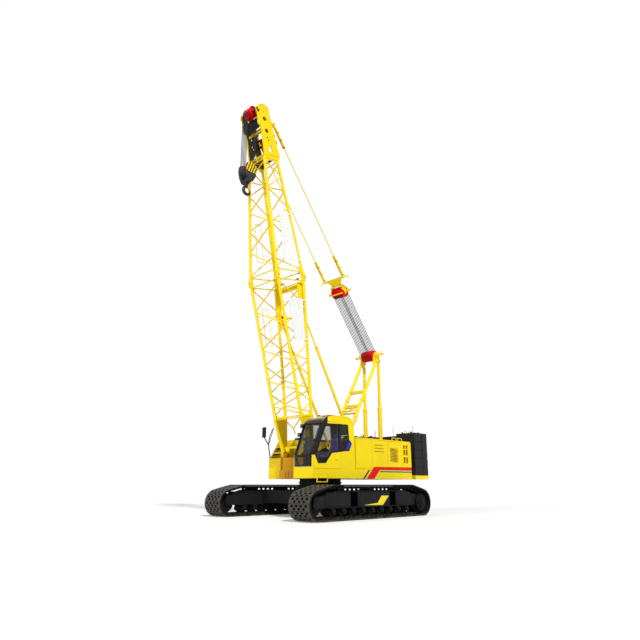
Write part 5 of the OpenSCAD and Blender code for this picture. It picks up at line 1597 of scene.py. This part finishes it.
        # Painted shade: dark rings that widen the holes in both plates
        for s, d in ((12.67, 0.10), (12.18, 0.06)):
            for y in sides:
                plates.lathe(washer(0.047, 0.084, -0.024, 0.024), (d, y, s), 32)
        for s, rear in ((12.17, -0.36), (11.90, -0.42)):
            plates.rod((-0.20, -0.42, s), (-0.20, 0.42, s), 0.022, 12)
            for y in (-0.30, 0.30):
                plates.block((rear, y - 0.02, s - 0.03), (-0.18, y - 0.005, s + 0.03))
        self.put(plates, "head_dark_plates_and_hole_shade", BLACK)

    def backstops(self) -> None:
        """Makes the backstops' collars and pins."""
        dress(YELLOW, "backstop_tubes", "backstop_rods")
        upper = LATTICE.point(4.85, -LATTICE.depth(4.85) - 0.07)
        foot = Vector((-1.45, 0, 2.0))
        way = (upper - foot).normalized()
        outer, pins = Form(), Form()
        for y in (-self.backstop_side, self.backstop_side):
            start = foot + Vector((0, y, 0))
            outer.rod(start + way * 4.54, start + way * 4.62, 0.064, 24, None, 0.006)
            outer.rod(start + way * 2.2, start + way * 2.25, 0.056, 24, None, 0.004)
            pins.disc((upper.x, y, upper.z), 0.0245, 0.15, 20)
        outer.piece("backstop_collars", YELLOW, Body.BACKSTOP_OUTER)
        pins.piece("backstop_pins", STEEL, Body.BOOM)

    def build(self) -> None:
        """Makes all the boom's pieces."""
        dress(YELLOW, "boom_base", "boom_top", "boom_lacing")
        dress(HEAD, "boom_head")
        dress(BOARD, "sign_boards")
        self.joints()
        self.gussets()
        self.foot()
        self.rails()
        self.boards()
        self.head_sheaves()
        self.head_plates()
        self.backstops()


@dataclass
class Hoist:
    """The winch drums' rope, the hook block and the hook."""

    drum_height: float = 1.99
    turns: int = 30
    spool: float = 0.43
    hook_radius: float = 0.098
    hook_thickness: float = 0.104

    def drums(self) -> None:
        """Makes the three drums with their wound rope, flanges, bolts and hubs."""
        step, barrel = 2 * self.spool / self.turns, 0.242
        profile = [(0.22, self.spool), (0.22, -self.spool)]
        for k in range(self.turns):
            t = -self.spool + (k + 0.5) * step
            profile += [(barrel, t - step / 2), (0.253, t - step / 4), (0.256, t), (0.253, t + step / 4)]
        profile.append((barrel, self.spool))
        for name, x, body in (
            ("main", -1.80, Body.MAIN_WINCH), ("second", 0.21, Body.SECOND_WINCH),
            ("luffing", -2.66, Body.LUFFING_WINCH),
        ):
            centre = (x, 0, self.drum_height)
            made = Form().lathe(profile, centre, 48).piece(f"{name}_drum_rope", ROPE, body, 50)
            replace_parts(made, f"{name}_drum")
            drum = Form()
            for y in (-0.44, 0.44):
                side = (x, y, self.drum_height)
                drum.lathe(washer(0.05, 0.35, -0.014, 0.014), side, 56)
                drum.bolt_ring(side, 0.29, 12, 0.018, 0.044)
            drum.disc(centre, 0.0445, 0.968, 28)
            drum.discs(centre, (-0.478, 0.478), 0.0445, 0.012, 24)
            drum.piece(f"{name}_drum_flanges", CRAWLER, body)

    def block(self) -> None:
        """Makes the hook block's cheeks, sheaves and pins."""
        x, _, z = BLOCK_PIN
        finish = Hazard(
            "hook_block_paint", Slot.BALLAST, (54, 55, 58), 0.5, wear=(96, 94, 90),
            wear_share=0.25, centre=(x + SWING, z),
        )
        front = (
            (0.06, 0.275), (0.17, 0.21), (0.235, 0.12), (0.245, -0.10), (0.195, -0.30), (0.085, -0.51),
        )
        whole = [*front, *((-dx, dz) for dx, dz in reversed(front))]
        outline = [(x + dx, z + dz) for dx, dz in whole]
        cheeks = Form()
        for y in (-0.249, 0.211):
            cheeks.slab(outline, y, y + 0.038, 0.008)
        for y in (-0.212, 0.172):
            cheeks.slab([p for p in outline if p[1] < z - 0.05], y, y + 0.04, 0.006)
        cheeks.block((x - 0.083, -0.212, z - 0.50), (x + 0.083, 0.212, z - 0.37), 0.012)
        cheeks.slab(strip((x, z), 0.243, 0.232, -99, 13, 10), -0.212, 0.11)
        for y in (-0.253, 0.254):
            cheeks.disc((x, y, z), 0.075, 0.016, 28, 0.004)
            for dx, dz in ((-0.16, 0.10), (0.16, 0.10), (-0.14, -0.34), (0.14, -0.34)):
                cheeks.disc((x + dx, y, z + dz), 0.017, 0.018, 6)
        made = cheeks.piece("hook_block_cheeks", finish, Body.HOIST)
        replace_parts(made, "hook_block")
        red = Form().sheaves(BLOCK_PIN, 0.20, 0.055, 5).disc(BLOCK_PIN, 0.055, 0.46, 24)
        for y in (-0.205, 0.15):
            red.slab(strip((x, z), 0.226, 0.214, -60, 12, 10), y, y + 0.055)
        red.piece("hook_block_sheaves", RED, Body.HOIST)

    def hook(self) -> None:
        """Makes the forged hook with its shank, its nut and its safety latch."""
        x, _, z = BLOCK_PIN
        bowl = z - 0.52 - 0.06 - 0.16 - self.hook_radius
        middle, count = self.hook_radius + self.hook_thickness / 2, 26
        points = [(x, 0, z - 0.37 - 0.075 * k) for k in range(5)]
        radii = [0.053 - 0.002 * k for k in range(5)]
        for k, (px, pz) in enumerate(arc((x, bowl), middle, 88, -292 / count, count + 1)):
            share = k / count
            grow = 1 + 0.10 * math.sin(math.pi * min(share / 0.8, 1.0))
            fade = 1.0 if share < 0.72 else 1.0 - 0.72 * (share - 0.72) / 0.28
            points.append((px, 0, pz))
            radii.append(self.hook_thickness / 2 * grow * fade)
        form = Form().sweep(points, radii, 20)
        form.rod((x, 0, z - 0.36), (x, 0, z - 0.30), 0.088, 8, 0.080)
        form.rod((x, 0, z - 0.545), (x, 0, z - 0.522), 0.085, 28)
        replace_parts(form.piece("forged_hook", HOOK_STEEL, Body.HOOK, 50), "hook")
        pivot = (x + 0.02, 0, bowl + middle + 0.01)
        latch = Form().rod(pivot, (x - 0.148, 0, bowl + 0.045), 0.012, 10).disc(pivot, 0.026, 0.07, 14)
        latch.piece("hook_latch", STEEL, Body.HOOK)

    def build(self) -> None:
        """Makes all the hoist's pieces."""
        dress(ROPE, "hoist_falls")
        self.drums()
        self.block()
        self.hook()


@dataclass
class Studio:
    """The camera, the pale floor and the soft light."""

    place: tuple[float, float, float] = (15.224, 14.439, 1.070)
    yaw: float = 0.7662
    pitch: float = 0.2919
    lens: float = 30.81

    def camera(self) -> None:
        """Makes the camera at the photograph's place."""
        data = bpy.data.cameras.new("camera")
        data.lens, data.sensor_width, data.clip_end = self.lens, 36.0, 500.0
        made = linked("camera", data)
        level = math.cos(self.pitch)
        ahead = (-math.cos(self.yaw) * level, -math.sin(self.yaw) * level, math.sin(self.pitch))
        made.location = self.place
        made.rotation_mode = "QUATERNION"
        made.rotation_quaternion = Vector(ahead).to_track_quat("-Z", "Y")
        bpy.context.scene.camera = made

    def seen(self, tree: Tree) -> Socket:
        """Returns 1 for rays from the camera, mirrors and glass."""
        path = tree.add("ShaderNodeLightPath").outputs
        mirrored = tree.sum("MAXIMUM", path["Is Camera Ray"], path["Is Glossy Ray"])
        return tree.sum("MAXIMUM", mirrored, path["Is Transmission Ray"])

    def floor(self) -> None:
        """Makes the pale floor, which keeps the crane's shadow."""
        mesh = bmesh.new()
        bmesh.ops.create_grid(mesh, x_segments=1, y_segments=1, size=240.0)
        data = bpy.data.meshes.new("floor")
        mesh.to_mesh(data)
        mesh.free()
        made = linked("floor", data)
        made.location.z = -0.002
        material = bpy.data.materials.new("pale_floor")
        tree = Tree(material)
        diffuse = tree.add("ShaderNodeBsdfDiffuse", {"Color": (0.92, 0.92, 0.92, 1)})
        glow = tree.add("ShaderNodeEmission", {"Strength": tree.sum("MULTIPLY", self.seen(tree), 0.16)})
        both = tree.add("ShaderNodeAddShader", {0: diffuse.outputs[0], 1: glow.outputs[0]})
        tree.add("ShaderNodeOutputMaterial", {"Surface": both.outputs[0]})
        data.materials.append(material)

    def light(self) -> None:
        """Makes the white surroundings, the sun and a weak fill light."""
        world = bpy.data.worlds.new("studio")
        bpy.context.scene.world = world
        tree = Tree(world)
        values = {"Value": self.seen(tree), "To Min": 0.30, "To Max": 1.0}
        strength = tree.add("ShaderNodeMapRange", values).outputs[0]
        back = tree.add("ShaderNodeBackground", {"Color": (1, 1, 1, 1), "Strength": strength})
        tree.add("ShaderNodeOutputWorld", {"Surface": back.outputs[0]})
        for name, way, power, spread in (
            ("sun", (0.30, 0.66, 0.66), 2.55, 6.0), ("fill", (0.95, -0.15, 0.28), 0.95, 30.0),
        ):
            data = bpy.data.lights.new(name, "SUN")
            data.energy, data.angle = power, math.radians(spread)
            made = linked(name, data)
            made.rotation_mode = "QUATERNION"
            made.rotation_quaternion = Vector(way).to_track_quat("Z", "Y")

    def build(self) -> None:
        """Makes the whole studio."""
        bpy.context.scene.view_settings.view_transform = "Standard"
        self.camera()
        self.floor()
        self.light()


def main() -> None:
    """Builds the studio and the sub-assemblies."""
    logging.basicConfig(level=logging.INFO, format="%(name)s: %(message)s")
    for part in (Studio(), Crawler(), Cab(), Houses(), Ballast(), Gantry(), Luffing(), Boom(), Hoist()):
        part.build()
        LOG.info("%s is done", type(part).__name__)


if __name__ == "__main__":
    main()
